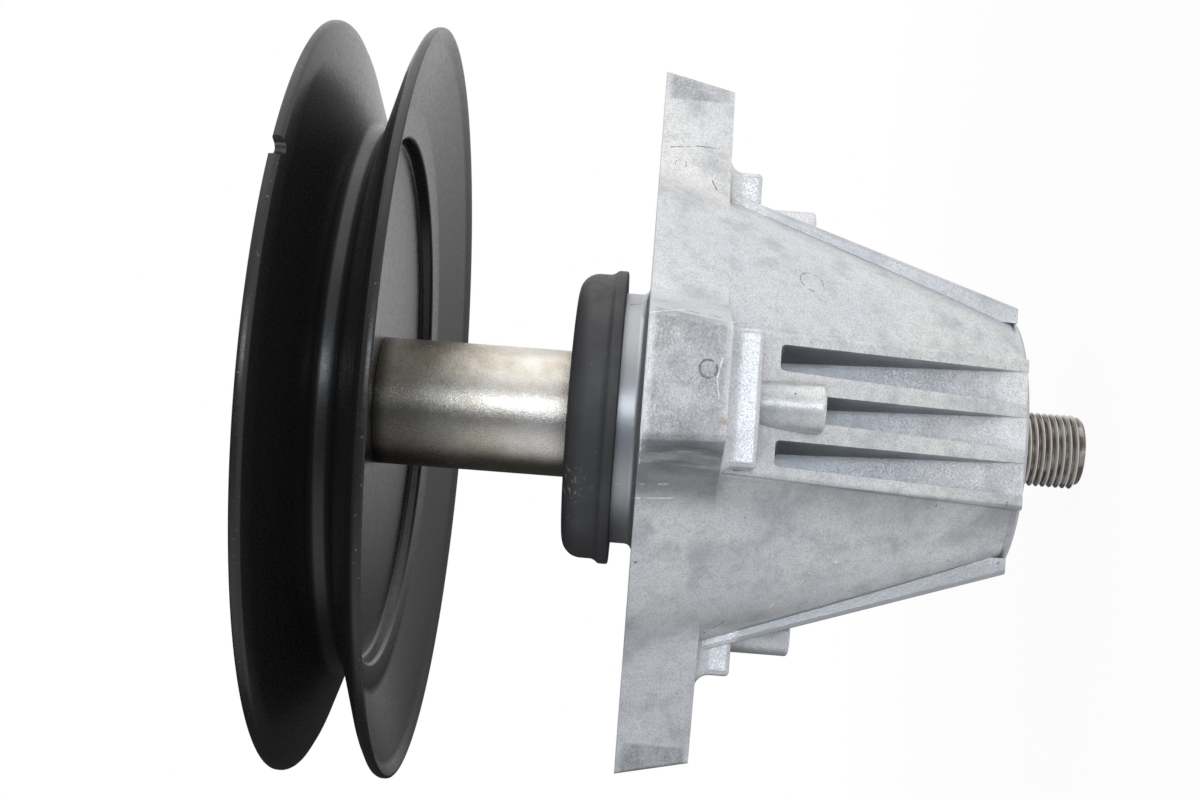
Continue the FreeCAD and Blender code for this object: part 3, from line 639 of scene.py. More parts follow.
@dataclass(frozen=True)
class MouldedRubber:
    """Matte dark rubber with faint rings and a few scuffs."""

    name: str = "moulded_rubber"
    rubber: Colour = (0.064, 0.064, 0.067)
    scuff: Colour = (0.16, 0.16, 0.16)
    gloss: Span = (0.48, 0.62)
    specular: float = 0.4
    rub: Colour = (0.34, 0.34, 0.33)
    rub_place: Triple = (-17.0, -25.0, 15.0)
    rub_reach: Span = (2.0, 7.0)
    scrapes: Patches = Patches(1.0, 3.0, 0.56, 0.66, 0.0, 0.75, stretch=(260.0, 1500.0, 1500.0))
    bloom: Patches = Patches(120.0, 5.0, 0.40, 0.75, 0.0, 0.25)
    scuffs: Patches = Patches(1.0, 2.0, 0.70, 0.76, 0.0, 0.5, stretch=(900.0, 130.0, 900.0), turn=(20, 40, 35))
    pores: Bumps = Bumps(1300.0, 2.0, 0.02, 0.4)
    rings: Bumps = Bumps(1.0, 3.0, 0.03, 0.35, (45.0, 45.0, 900.0))

    def material(self) -> Material:
        """Build the rubber.

        Returns:
            The material.
        """
        shader = Shader(self.name)
        colour = shader.blend(shader.patches(self.bloom), self.rubber, self.scuff)
        colour = shader.blend(shader.patches(self.scuffs), colour, self.scuff)
        rubbed = shader.times(shader.spot(self.rub_place, self.rub_reach), shader.patches(self.scrapes))
        shader.set("Base Color", shader.blend(rubbed, colour, self.rub))
        shader.set("Roughness", shader.patches(Patches(500.0, 3.0, 0.3, 0.7, *self.gloss)))
        shader.set("Specular IOR Level", self.specular)
        shader.set("Normal", shader.bumps(self.rings, shader.bumps(self.pores)))
        return shader.material


@dataclass(frozen=True)
class PlatedSteel:
    """Metal with a little cloudiness: zinc plate, ground rings, pressed strip or what a mould left behind."""

    name: str
    metal: Colour
    cloud: Colour
    gloss: Span
    metallic: float = 1.0
    clouds: Patches = Patches(180.0, 5.0, 0.35, 0.75)
    grain: Bumps = Bumps(1500.0, 2.0, 0.008, 0.5)

    def material(self) -> Material:
        """Build the metal.

        Returns:
            The material.
        """
        shader = Shader(self.name)
        shader.set("Base Color", shader.blend(shader.patches(self.clouds), self.metal, self.cloud))
        shader.set("Metallic", self.metallic)
        shader.set("Roughness", shader.patches(Patches(420.0, 4.0, 0.3, 0.7, *self.gloss)))
        shader.set("Normal", shader.bumps(self.grain))
        return shader.material


# Mesh building


@dataclass(frozen=True)
class Corner:
    """A corner of a turned section: distance from the axis, height, and how far its rounding reaches."""

    radius: float
    height: float
    rounding: float = 0.0
    segments: int = 4


def turned(corners: Sequence[Corner], steps: int) -> Mesh:
    """A ring turned from a closed section.

    Args:
        corners: The section's corners in order, in millimetres.
        steps: Facets round the axis.

    Returns:
        The turned mesh, in metres.
    """
    mesh = bmesh.new()
    points = [mesh.verts.new((corner.radius * MM, 0.0, corner.height * MM)) for corner in corners]
    mesh.faces.new(points)
    for corner, point in zip(corners, points):
        if corner.rounding:
            bmesh.ops.bevel(mesh, geom=[point], offset=corner.rounding * MM, segments=corner.segments,
                            profile=0.5, affect="VERTICES", material=-1)
    bmesh.ops.delete(mesh, geom=mesh.faces[:], context="FACES_ONLY")
    bmesh.ops.spin(mesh, geom=mesh.verts[:] + mesh.edges[:], cent=(0, 0, 0), axis=(0, 0, 1),
                   angle=FULL_TURN, steps=steps, use_merge=True)
    return closed(mesh)


def closed(mesh: Mesh) -> Mesh:
    """Merge doubled points and turn every face outwards.

    Args:
        mesh: What is closed.

    Returns:
        The same mesh.
    """
    bmesh.ops.remove_doubles(mesh, verts=mesh.verts[:], dist=WELD)
    bmesh.ops.recalc_face_normals(mesh, faces=mesh.faces[:])
    return mesh


def stored(name: str, mesh: Mesh) -> bpy.types.Mesh:
    """A mesh as a data block; the mesh itself is freed.

    Args:
        name: The block's name.
        mesh: What is stored.

    Returns:
        The data block.
    """
    data = bpy.data.meshes.new(name)
    mesh.to_mesh(data)
    mesh.free()
    return data


def placed(name: str, data: bpy.types.ID) -> bpy.types.Object:
    """An object made of a data block and put in the scene.

    Args:
        name: The object's name.
        data: Its data block.

    Returns:
        The object.
    """
    thing = bpy.data.objects.new(name, data)
    bpy.context.scene.collection.objects.link(thing)
    return thing


def joined(meshes: Iterable[Mesh]) -> Mesh:
    """Several meshes as the islands of one.

    Args:
        meshes: The islands, which are freed.

    Returns:
        The whole mesh.
    """
    whole = bmesh.new()
    for mesh in meshes:
        data = stored("island", mesh)
        whole.from_mesh(data)
        bpy.data.meshes.remove(data)
    return whole


def combined(mesh: Mesh, tool: Mesh, operation: str) -> Mesh:
    """One mesh cut by, or kept within, another.

    Args:
        mesh: What is worked on.
        tool: What it is worked with.
        operation: DIFFERENCE or INTERSECT.

    Returns:
        The worked mesh.
    """
    work, cutter = placed("work", stored("work", mesh)), placed("tool", stored("tool", tool))
    modifier = work.modifiers.new("cut", "BOOLEAN")
    modifier.operation = operation
    modifier.solver = "EXACT"
    modifier.object = cutter
    graph = bpy.context.evaluated_depsgraph_get()
    result = bpy.data.meshes.new_from_object(work.evaluated_get(graph))
    whole = bmesh.new()
    whole.from_mesh(result)
    bpy.data.meshes.remove(result)
    for thing in (work, cutter):
        data = thing.data
        bpy.data.objects.remove(thing)
        bpy.data.meshes.remove(data)
    return whole


def finished(name: str, mesh: Mesh, body: Body, material: Material,
             nodes: Sequence[str] = (), crease: float = 30.0) -> bpy.types.Object:
    """Make a piece of a mesh and put it in the frame.

    Args:
        name: The piece's name.
        mesh: Its mesh, which is freed.
        body: The body that it rides on.
        material: Its material.
        nodes: The CAD nodes that it stands for.
        crease: Edges sharper than this stay sharp, in degrees.

    Returns:
        The piece.
    """
    data = stored(name, mesh)
    data.shade_smooth()
    data.set_sharp_from_angle(angle=math.radians(crease))
    data.materials.append(material)
    piece = placed(name, data)
    if nodes:
        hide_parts(*nodes)
    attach(piece, body.value)
    log.info("%s: %d faces on %s", name, len(data.polygons), body.value)
    return piece


def dress(node: str, material: Material) -> None:
    """Give a CAD node its material.

    Args:
        node: The node's name.
        material: What it is dressed in.
    """
    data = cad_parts[node].data
    data.materials.clear()
    data.materials.append(material)
    log.info("%s: dressed in %s", node, material.name)


def heights(node: str) -> Span:
    """A node's lowest and highest point along the axis, in millimetres."""
    low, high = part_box(node)
    return low.z / MM, high.z / MM


# Viewpoint


@dataclass(frozen=True)
class PhotoCamera:
    """The photograph's viewpoint: the axis lies across the picture, with the pulley to the left."""

    place: Triple = (-39.2, -368.75, 0.32)
    aim: Triple = (3.52, -0.32, 9.12)
    up: Triple = (0.99029, -0.11664, 0.07568)
    focal: float = 1710.6
    image_width: float = 1200.0
    image_height: float = 800.0
    sensor: float = 36.0
    clip: Span = (0.01, 20.0)

    def matrix(self) -> Matrix:
        """The camera's place and turn in the frame.

        Returns:
            The matrix, in metres.
        """
        forward = (Vector(self.aim) - Vector(self.place)).normalized()
        right = forward.cross(Vector(self.up)).normalized()
        up = right.cross(forward)
        turn = Matrix((right, up, -forward)).transposed().to_4x4()
        return Matrix.Translation(self.eye()) @ turn

    def eye(self) -> Vector:
        """The camera's place, in metres."""
        return Vector(self.place) * MM

    def ray(self, pixel: Pixel) -> Vector:
        """The direction that a pixel of the photograph looks in.

        Args:
            pixel: Across and down from the picture's upper left corner.

        Returns:
            The direction, of unit length.
        """
        across, down = pixel[0] - self.image_width / 2, pixel[1] - self.image_height / 2
        return (self.matrix().to_3x3() @ Vector((across, -down, -self.focal))).normalized()

    def build(self) -> None:
        """Make the camera."""
        data = bpy.data.cameras.new("photo_camera")
        data.sensor_fit = "HORIZONTAL"
        data.sensor_width = self.sensor
        data.lens = self.focal * self.sensor / self.image_width
        data.clip_start, data.clip_end = self.clip
        camera = placed("photo_camera", data)
        camera.matrix_world = self.matrix()
        bpy.context.scene.camera = camera


# Sub-assemblies


@dataclass
class PressedPulley:
    """Two pressed halves back to back: flat web, stepped groove floor, slanted wall and turned-out rim."""

    radius: float = 79.98
    sheet: float = 2.0
    wall_angle: float = 19.0
    root_radius: float = 58.5
    root_half_width: float = 1.9
    hole_radius: float = 9.1
    floor_bend: float = 1.3
    step_bend: float = 0.8
    step_extra: float = 1.5
    step_lean: float = 0.6
    settle_length: float = 4.0
    settle_bend: float = 0.8
    lip_length: float = 3.0
    lip_angle: float = 9.0
    lip_bend: float = 0.6
    rim_rounding: float = 0.85
    chip_width: float = 0.6
    notch_radius: float = 2.3
    notch_offset: float = 0.6
    notch_angle: float = -62.5
    notch_height: float = 10.0
    notch_depth: float = 12.0
    notch_sides: int = 40
    bend_segments: int = 6
    steps: int = 288

    def section(self, middle: float, side: int) -> List[Corner]:
        """One half's section.

        Args:
            middle: Height of the plane between the halves.
            side: 1 for the upper half, -1 for the lower.

        Returns:
            The section's corners.
        """
        slope = math.tan(math.radians(self.wall_angle))
        lip_slope = math.tan(math.radians(self.wall_angle + self.lip_angle))
        thick = self.sheet / math.cos(math.radians(self.wall_angle))
        lip_radius = self.radius - self.lip_length
        lip = self.root_half_width + (lip_radius - self.root_radius) * slope
        rim = lip + self.lip_length * lip_slope
        step_radius = self.root_radius - self.sheet
        step_height = self.root_half_width + thick - self.sheet * slope + self.step_extra
        settle_height = self.root_half_width + thick + self.settle_length * slope
        corners = [
            (self.hole_radius, 0.0, 0.0),
            (self.root_radius, 0.0, 0.0),
            (self.root_radius, self.root_half_width, self.floor_bend),
            (lip_radius, lip, self.lip_bend),
            (self.radius, rim, self.rim_rounding),
            (self.radius, rim + thick, self.rim_rounding),
            (lip_radius, lip + thick, self.lip_bend),
            (self.root_radius + self.settle_length, settle_height, self.settle_bend),
            (step_radius, step_height, self.step_bend),
            (step_radius - self.step_lean, self.sheet, self.step_bend),
            (self.hole_radius, self.sheet, 0.0),
        ]
        return [Corner(radius, middle + side * height, rounding, self.bend_segments)
                for radius, height, rounding in corners]

    def notch(self, middle: float) -> Mesh:
        """The round cutter for the bite in the upper rim.

        Args:
            middle: Height of the plane between the halves.

        Returns:
            The cutter's mesh.
        """
        turn = math.radians(self.notch_angle)
        place = Vector((math.cos(turn), math.sin(turn), 0.0)) * (self.radius + self.notch_offset) * MM
        place.z = (middle + self.notch_height) * MM
        cutter = bmesh.new()
        bmesh.ops.create_cone(cutter, cap_ends=True, segments=self.notch_sides, radius1=self.notch_radius * MM,
                              radius2=self.notch_radius * MM, depth=self.notch_depth * MM,
                              matrix=Matrix.Translation(place))
        return cutter

    def build(self) -> None:
        """Make both halves."""
        paint = BlackPaint(rim=self.radius - self.chip_width).material()
        middle = heights("pulley_lower_half")[1]
        upper = combined(turned(self.section(middle, 1), self.steps), self.notch(middle), "DIFFERENCE")
        lower = turned(self.section(middle, -1), self.steps)
        finished("pulley_upper_pressing", upper, Body.ROTOR, paint, ["pulley_upper_half"])
        finished("pulley_lower_pressing", lower, Body.ROTOR, paint, ["pulley_lower_half"])


@dataclass
class SpacerTube:
    """The plain tube between the upper bearing and the pulley."""

    radius: float = 13.7
    bore: float = 10.15
    rim_rounding: float = 0.15
    steps: int = 192

    def build(self) -> None:
        """Make the tube."""
        low, high = heights("pulley_spacer")
        section = [
            Corner(self.bore, low),
            Corner(self.radius, low, self.rim_rounding),
            Corner(self.radius, high, self.rim_rounding),
            Corner(self.bore, high),
        ]
        steel = TumbledSteel().material()
        finished("spacer_tube", turned(section, self.steps), Body.ROTOR, steel, ["pulley_spacer"])
        dress("bearing_spacer", steel)


@dataclass
class DustShield:
    """The moulded cup over the pilot collar, with a flared lip."""

    radius: float = 30.75
    lip_radius: float = 31.7
    wall: float = 2.4
    hub_radius: float = 14.3
    bore: float = 13.8
    lip_width: float = 2.2
    lip_height: float = 4.8
    crown: float = 4.2
    hub_rounding: float = 0.2
    ceiling_rounding: float = 1.8
    edge_rounding: float = 0.3
    lip_rounding: float = 0.5
    lip_crown: float = 0.45
    flare_bend: float = 0.8
    steps: int = 224

    def build(self) -> None:
        """Make the cup."""
        base, top = heights("upper_outer_ring")[1], heights("dust_shield")[1]
        ceiling = top - self.wall
        lip_top = self.lip_height + self.lip_width
        flare = self.lip_radius - self.radius
        section = [
            Corner(self.bore, base),
            Corner(self.hub_radius, base),
            Corner(self.hub_radius, ceiling, self.hub_rounding),
            Corner(self.radius - self.wall, ceiling, self.ceiling_rounding, segments=6),
            Corner(self.radius - self.wall, self.lip_height, self.edge_rounding),
            Corner(self.lip_radius, self.lip_height, self.lip_rounding),
            Corner(self.lip_radius, lip_top, self.lip_crown, segments=5),
            Corner(self.radius, lip_top + flare, self.flare_bend, segments=6),
            Corner(self.radius, top, self.crown, segments=12),
            Corner(self.bore, top, self.edge_rounding),
        ]
        rubber = MouldedRubber().material()
        finished("dust_cup", turned(section, self.steps), Body.ROTOR, rubber, ["dust_shield"])


@dataclass
class SpindleShaft:
    """The turned shaft, threaded at both ends."""

    crest: float = 7.9
    root: float = 7.03
    pitch: float = 25.4 / 18
    relief_radius: float = 7.0
    relief_length: float = 1.6
    relief_drop: float = 0.4
    chamfer: float = 1.1
    journal: float = 10.0
    journal_rounding: float = 0.3
    collar: float = 13.0
    collar_length: float = 9.0
    collar_rounding: float = 0.4
    seat: float = 9.0
    seat_drop: float = 0.4
    web: float = 2.0
    core_depth: float = 0.25
    core_lap: float = 1.0
    runout: float = 1.2
    inset: float = 0.9999
    crease: float = 50.0
    thread_steps: int = 64
    steps: int = 96

    def thread(self, low: float, high: float) -> Mesh:
        """A right-hand thread between two heights, closed at both ends.

        Args:
            low: Its lower end.
            high: Its upper end.

        Returns:
            The thread's mesh.
        """
        turns = math.ceil((high - low) / self.pitch) + 2
        flat = self.pitch / 8
        profile = [
            (self.root, 0.0),
            (self.root, flat),
            (self.crest, self.pitch / 2 - flat / 2),
            (self.crest, self.pitch / 2 + flat / 2),
            (self.root, self.pitch),
        ]
        mesh = bmesh.new()
        start = low - self.pitch
        points = [mesh.verts.new((radius * MM, 0.0, (start + rise) * MM)) for radius, rise in profile]
        edges = [mesh.edges.new(pair) for pair in zip(points, points[1:])]
        bmesh.ops.spin(mesh, geom=points + edges, cent=(0, 0, 0), axis=(0, 0, 1), angle=FULL_TURN * turns,
                       steps=self.thread_steps * turns, dvec=(0, 0, self.pitch / self.thread_steps * MM))
        bmesh.ops.remove_doubles(mesh, verts=mesh.verts[:], dist=WELD * 10)
        for height, way in ((low, -1.0), (high, 1.0)):
            cut = bmesh.ops.bisect_plane(mesh, geom=mesh.verts[:] + mesh.edges[:] + mesh.faces[:], dist=WELD,
                                         plane_co=(0, 0, height * MM), plane_no=(0, 0, way), clear_outer=True)
            rim = [item for item in cut["geom_cut"] if isinstance(item, bmesh.types.BMEdge)]
            bmesh.ops.contextual_create(mesh, geom=rim)
        return closed(mesh)

    def taper(self, mesh: Mesh, limit: Callable[[float], float]) -> Mesh:
        """Bring a mesh in to a radius that depends on height.

        Args:
            mesh: What is brought in.
            limit: The largest radius at a height, both in millimetres.

        Returns:
            The same mesh.
        """
        for point in mesh.verts:
            reach = math.hypot(point.co.x, point.co.y) / MM
            most = limit(point.co.z / MM)
            if reach > most:
                point.co.x *= most / reach
                point.co.y *= most / reach
        return mesh

    def build(self) -> None:
        """Make the shaft and its threads."""
        low, high = (end * self.inset for end in heights("spindle_shaft"))
        bearing_base, bearing_top = heights("lower_inner_ring")
        web_base, web_top = heights("pulley_lower_half")[1] - self.web, heights("pulley_nut")[0]
        seat_base, seat_top = web_base - self.seat_drop, web_top - self.seat_drop
        relief_base = bearing_base - self.relief_length
        collar_top = bearing_top + self.collar_length
        core = self.root - self.core_depth
        section = [
            Corner(0.0, relief_base - self.core_lap),
            Corner(core, relief_base - self.core_lap),
            Corner(self.relief_radius, relief_base - self.relief_drop),
            Corner(self.relief_radius, bearing_base),
            Corner(self.journal, bearing_base, self.journal_rounding),
            Corner(self.journal, bearing_top),
            Corner(self.collar, bearing_top, self.collar_rounding),
            Corner(self.collar, collar_top, self.collar_rounding),
            Corner(self.journal, collar_top),
            Corner(self.journal, seat_base),
            Corner(self.seat, seat_base),
            Corner(self.seat, seat_top),
            Corner(core, seat_top),
            Corner(core, web_top + self.core_lap),
            Corner(0.0, web_top + self.core_lap),
        ]
        tip = self.crest - self.chamfer
        fade = (self.crest - self.root) / self.runout
        blade = self.taper(self.thread(low, relief_base), lambda height: min(
            tip + (height - low), self.root + max(0.0, relief_base - height) * fade))
        top = self.taper(self.thread(seat_top, high), lambda height: tip + (high - height))
        whole = joined([turned(section, self.steps), blade, top])
        finished("threaded_shaft", whole, Body.ROTOR, TurnedSteel().material(), ["spindle_shaft"],
                 crease=self.crease)


@dataclass
class PulleyNut:
    """The flange nut on top of the pulley."""

    half_flats: float = 11.9
    flange_radius: float = 16.5
    flange_height: float = 2.4
    flange_edge: float = 0.9
    flange_rounding: float = 0.3
    crown_radius: float = 10.6
    crown_height: float = 3.0
    crown_rounding: float = 1.1
    crown_lap: float = 1.0
    bore: float = 7.95
    bore_rounding: float = 0.5
    bore_margin: float = 0.4
    chamfer_height: float = 1.9
    chamfer_inset: float = 0.2
    lens_margin: float = 1.0
    lift: float = 0.4
    sides: int = 6
    lens_steps: int = 96
    steps: int = 144

    def build(self) -> None:
        """Make the nut."""
        low, high = heights("pulley_nut")
        hex_top = high - self.crown_height
        corner = self.half_flats / math.cos(math.pi / self.sides)
        prism = bmesh.new()
        bmesh.ops.create_cone(prism, cap_ends=True, segments=self.sides, radius1=corner * MM, radius2=corner * MM,
                              depth=(hex_top - low - self.lift) * MM,
                              matrix=Matrix.Translation((0, 0, (hex_top + low + self.lift) / 2 * MM))
                              @ Matrix.Rotation(math.pi / self.sides, 4, "Z"))
        lens = turned([
            Corner(self.bore + self.bore_margin, low),
            Corner(corner + self.lens_margin, low),
            Corner(corner + self.lens_margin, hex_top - self.chamfer_height),
            Corner(self.half_flats - self.chamfer_inset, hex_top),
            Corner(self.bore + self.bore_margin, hex_top),
        ], self.lens_steps)
        wrench = combined(prism, lens, "INTERSECT")
        flange = turned([
            Corner(self.bore, low),
            Corner(self.flange_radius, low, self.flange_rounding),
            Corner(self.flange_radius, low + self.flange_edge, self.flange_rounding),
            Corner(self.crown_radius + self.crown_lap, low + self.flange_height),
            Corner(self.bore, low + self.flange_height),
        ], self.steps)
        crown = turned([
            Corner(self.bore, hex_top - self.crown_lap),
            Corner(self.crown_radius, hex_top - self.crown_lap),
            Corner(self.crown_radius, high, self.crown_rounding, segments=6),
            Corner(self.bore, high, self.bore_rounding),
        ], self.steps)
        zinc = PlatedSteel("zinc_plate", (0.60, 0.59, 0.56), (0.50, 0.48, 0.43), (0.24, 0.38)).material()
        whole = joined([wrench, flange, crown])
        finished("flange_nut", whole, Body.ROTOR, zinc, ["pulley_nut"])


@dataclass
class BallBearings:
    """Two sealed bearings; the lower one shows its seal at the nose."""

    ends: Tuple[str, ...] = ("upper", "lower")
    seal_width: float = 5.97
    bead: float = 0.28
    bead_width: float = 1.2
    bead_foot: float = 1.5
    bead_rounding: float = 0.15
    steps: int = 160

    def seal(self, node: str, outwards: int) -> List[Corner]:
        """A seal's section with a raised bead and a sunk band on its outer face.

        Args:
            node: The CAD node that it stands for.
            outwards: 1 where the outer face is the upper one, -1 where it is the lower.

        Returns:
            The section's corners.
        """
        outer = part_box(node)[1].x / MM
        inner = outer - self.seal_width
        back, face = heights(node)[::outwards]
        sunk = face - outwards * self.bead
        return [
            Corner(inner, back),
            Corner(inner, face, self.bead_rounding),
            Corner(inner + self.bead_width, face, self.bead_rounding),
            Corner(inner + self.bead_foot, sunk),
            Corner(outer - self.bead_foot, sunk),
            Corner(outer - self.bead_width, face, self.bead_rounding),
            Corner(outer, face, self.bead_rounding),
            Corner(outer, back),
        ]

    def build(self) -> None:
        """Make the seals and dress the rest."""
        ground = PlatedSteel("ground_steel", (0.66, 0.66, 0.67), (0.58, 0.58, 0.59), (0.14, 0.24)).material()
        strip = PlatedSteel("pressed_strip", (0.52, 0.52, 0.52), (0.42, 0.41, 0.40), (0.28, 0.42)).material()
        rubber = MouldedRubber("seal_rubber", (0.022, 0.022, 0.024), (0.06, 0.06, 0.06), (0.40, 0.55)).material()
        for end in self.ends:
            for piece in ("outer_ring", "inner_ring", "balls"):
                dress(f"{end}_{piece}", ground)
            dress(f"{end}_cage", strip)
            for side, outwards in (("top", 1), ("bottom", -1)):
                node = f"{end}_{side}_seal"
                ring = turned(self.seal(node, outwards), self.steps)
                finished(f"{end}_{side}_lip_seal", ring, Body.HOUSING, rubber, [node])


@dataclass(frozen=True)
class Flash:
    """A thin ridge left by the mould, between two places in the photograph."""

    start: Pixel
    end: Pixel
    width: float
    broken: float = 0.0


@dataclass(frozen=True)
class PinMark:
    """A round ridge left by an ejector pin: its place in the photograph, radius, and the part of it that shows."""

    place: Pixel
    radius: float
    width: float
    first: float = 0.0
    last: float = 360.0
    broken: float = 0.2


@dataclass
class CastHousing:
    """The casting, with the flash lines and pin marks that its mould left."""

    flashes: Tuple[Flash, ...] = (
        Flash((652, 312), (684, 310), 0.16),
        Flash((651, 314), (645, 390), 0.24, 0.35),
        Flash((645, 390), (639, 464), 0.24, 0.45),
        Flash((723, 357), (717, 379), 0.20),
        Flash((717, 379), (719, 400), 0.18),
        Flash((627, 304.5), (642, 304), 0.10),
        Flash((642, 304), (647, 298), 0.10),
        Flash((612, 484), (684, 484), 0.12, 0.55),
        Flash((632, 498), (684, 498), 0.14, 0.35),
        Flash((732, 323), (739, 322), 0.18),
        Flash((765, 612), (803, 576), 0.12, 0.9),
        Flash((768, 614), (806, 578), 0.10, 0.9),
        Flash((803, 576), (830, 563), 0.12, 0.8),
        Flash((830, 563), (868, 557), 0.10, 0.9),
    )
    creases: Tuple[Flash, ...] = (
        Flash((684, 310), (722, 318), 0.08, 0.4),
        Flash((666, 147), (700, 146), 0.10, 0.15),
        Flash((700, 146), (720, 149), 0.10, 0.25),
        Flash((690, 640), (724, 622), 0.10, 0.5),
        Flash((712, 180), (717, 190), 0.14),
    )
    pins: Tuple[PinMark, ...] = (
        PinMark((708.5, 368.5), 1.6, 0.24),
        PinMark((812, 282), 2.5, 0.10, 40.0, 330.0),
        PinMark((681, 164), 1.2, 0.08, 0.0, 250.0),
    )
    path_steps: int = 24
    ring_steps: int = 32
    bead_range: Span = (0.45, 1.15)
    bead_end: float = 0.25
    seed: int = 7

    def surface(self) -> BVHTree:
        """The casting's surface, for finding places on it.

        Returns:
            The surface as a search tree.
        """
        mesh = bmesh.new()
        mesh.from_mesh(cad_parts["spindle_housing"].data)
        tree = BVHTree.FromBMesh(mesh)
        mesh.free()
        return tree

    def path(self, flash: Flash, surface: BVHTree, camera: PhotoCamera) -> List[Vector]:
        """The places on the casting under a flash line.

        Args:
            flash: The line.
            surface: The casting's surface.
            camera: The viewpoint that the line's ends are seen from.

        Returns:
            Points along the line, in metres.
        """
        points = []
        for step in range(self.path_steps + 1):
            share = step / self.path_steps
            pixel = tuple(a + (b - a) * share for a, b in zip(flash.start, flash.end))
            hit = surface.ray_cast(camera.eye(), camera.ray(pixel))[0]
            if hit is not None:
                points.append(hit)
        return points

    def ring(self, pin: PinMark, surface: BVHTree, camera: PhotoCamera) -> List[Vector]:
        """The places on the casting round a pin mark.

        Args:
            pin: The mark.
            surface: The casting's surface.
            camera: The viewpoint that the mark is seen from.

        Returns:
            Points round the mark, in metres.
        """
        centre, normal, _, _ = surface.ray_cast(camera.eye(), camera.ray(pin.place))
        side = normal.orthogonal().normalized()
        across = normal.cross(side)
        points = []
        for step in range(self.ring_steps + 1):
            turn = math.radians(pin.first + (pin.last - pin.first) * step / self.ring_steps)
            out = (side * math.cos(turn) + across * math.sin(turn)) * pin.radius * MM
            points.append(surface.find_nearest(centre + out)[0])
        return points

    def ridge(self, points: Sequence[Vector], mark: Union[Flash, PinMark]) -> Mesh:
        """A rough thin bead along a path, with gaps.

        Args:
            points: The path.
            mark: What it shows, for the bead's radius and the share of the path that is left bare.

        Returns:
            The bead's mesh.
        """
        curve = bpy.data.curves.new("bead", "CURVE")
        curve.dimensions = "3D"
        curve.bevel_depth = mark.width * MM
        curve.bevel_resolution = 1
        curve.use_fill_caps = True
        runs: List[List[Vector]] = [[]]
        for point in points:
            if random.random() < mark.broken / 2:
                runs.append([])
            else:
                runs[-1].append(point)
        for run in runs:
            if len(run) < 2:
                continue
            spline = curve.splines.new("POLY")
            spline.points.add(len(run) - 1)
            for knot, point in zip(spline.points, run):
                knot.co = (*point, 1.0)
                knot.radius = random.uniform(*self.bead_range)
            spline.points[0].radius = spline.points[-1].radius = self.bead_end
        holder = bpy.data.objects.new("bead", curve)
        data = bpy.data.meshes.new_from_object(holder)
        mesh = bmesh.new()
        mesh.from_mesh(data)
        bpy.data.objects.remove(holder)
        bpy.data.curves.remove(curve)
        bpy.data.meshes.remove(data)
        return mesh

    def build(self) -> None:
        """Dress the casting and lay its mould marks on it."""
        dress("spindle_housing", CastAluminium().material())
        random.seed(self.seed)
        surface, camera = self.surface(), PhotoCamera()
        bright = PlatedSteel("torn_flash", (0.93, 0.935, 0.94), (0.86, 0.865, 0.87), (0.26, 0.40), 0.25).material()
        grey = PlatedSteel("cold_shut", (0.27, 0.275, 0.285), (0.20, 0.205, 0.21), (0.45, 0.6), 0.4).material()
        flashes = [self.ridge(self.path(line, surface, camera), line) for line in self.flashes]
        finished("mould_flash", joined(flashes), Body.HOUSING, bright)
        marks = [self.ridge(self.path(line, surface, camera), line) for line in self.creases]
        marks += [self.ridge(self.ring(pin, surface, camera), pin) for pin in self.pins]
        finished("mould_marks", joined(marks), Body.HOUSING, grey)


# Studio


@dataclass(frozen=True)
class Lamp:
    """A soft oblong lamp that looks at the object, with its length along the axis; it is measured in metres."""

    name: str
    place: Triple
    width: float
    length: float
    power: float
    colour: Colour

    def build(self, aim: Vector) -> None:
        """Make the lamp.

        Args:
            aim: What it looks at, in metres.
        """
        data = bpy.data.lights.new(self.name, "AREA")
        data.shape = "RECTANGLE"
        data.size = self.width
        data.size_y = self.length
        data.energy = self.power
        data.color = self.colour
        back = (Vector(self.place) - aim).normalized()
        side = Vector((0.0, 0.0, 1.0)).cross(back).normalized()
        turn = Matrix((side, back.cross(side), back)).transposed().to_4x4()
        placed(self.name, data).matrix_world = Matrix.Translation(self.place) @ turn


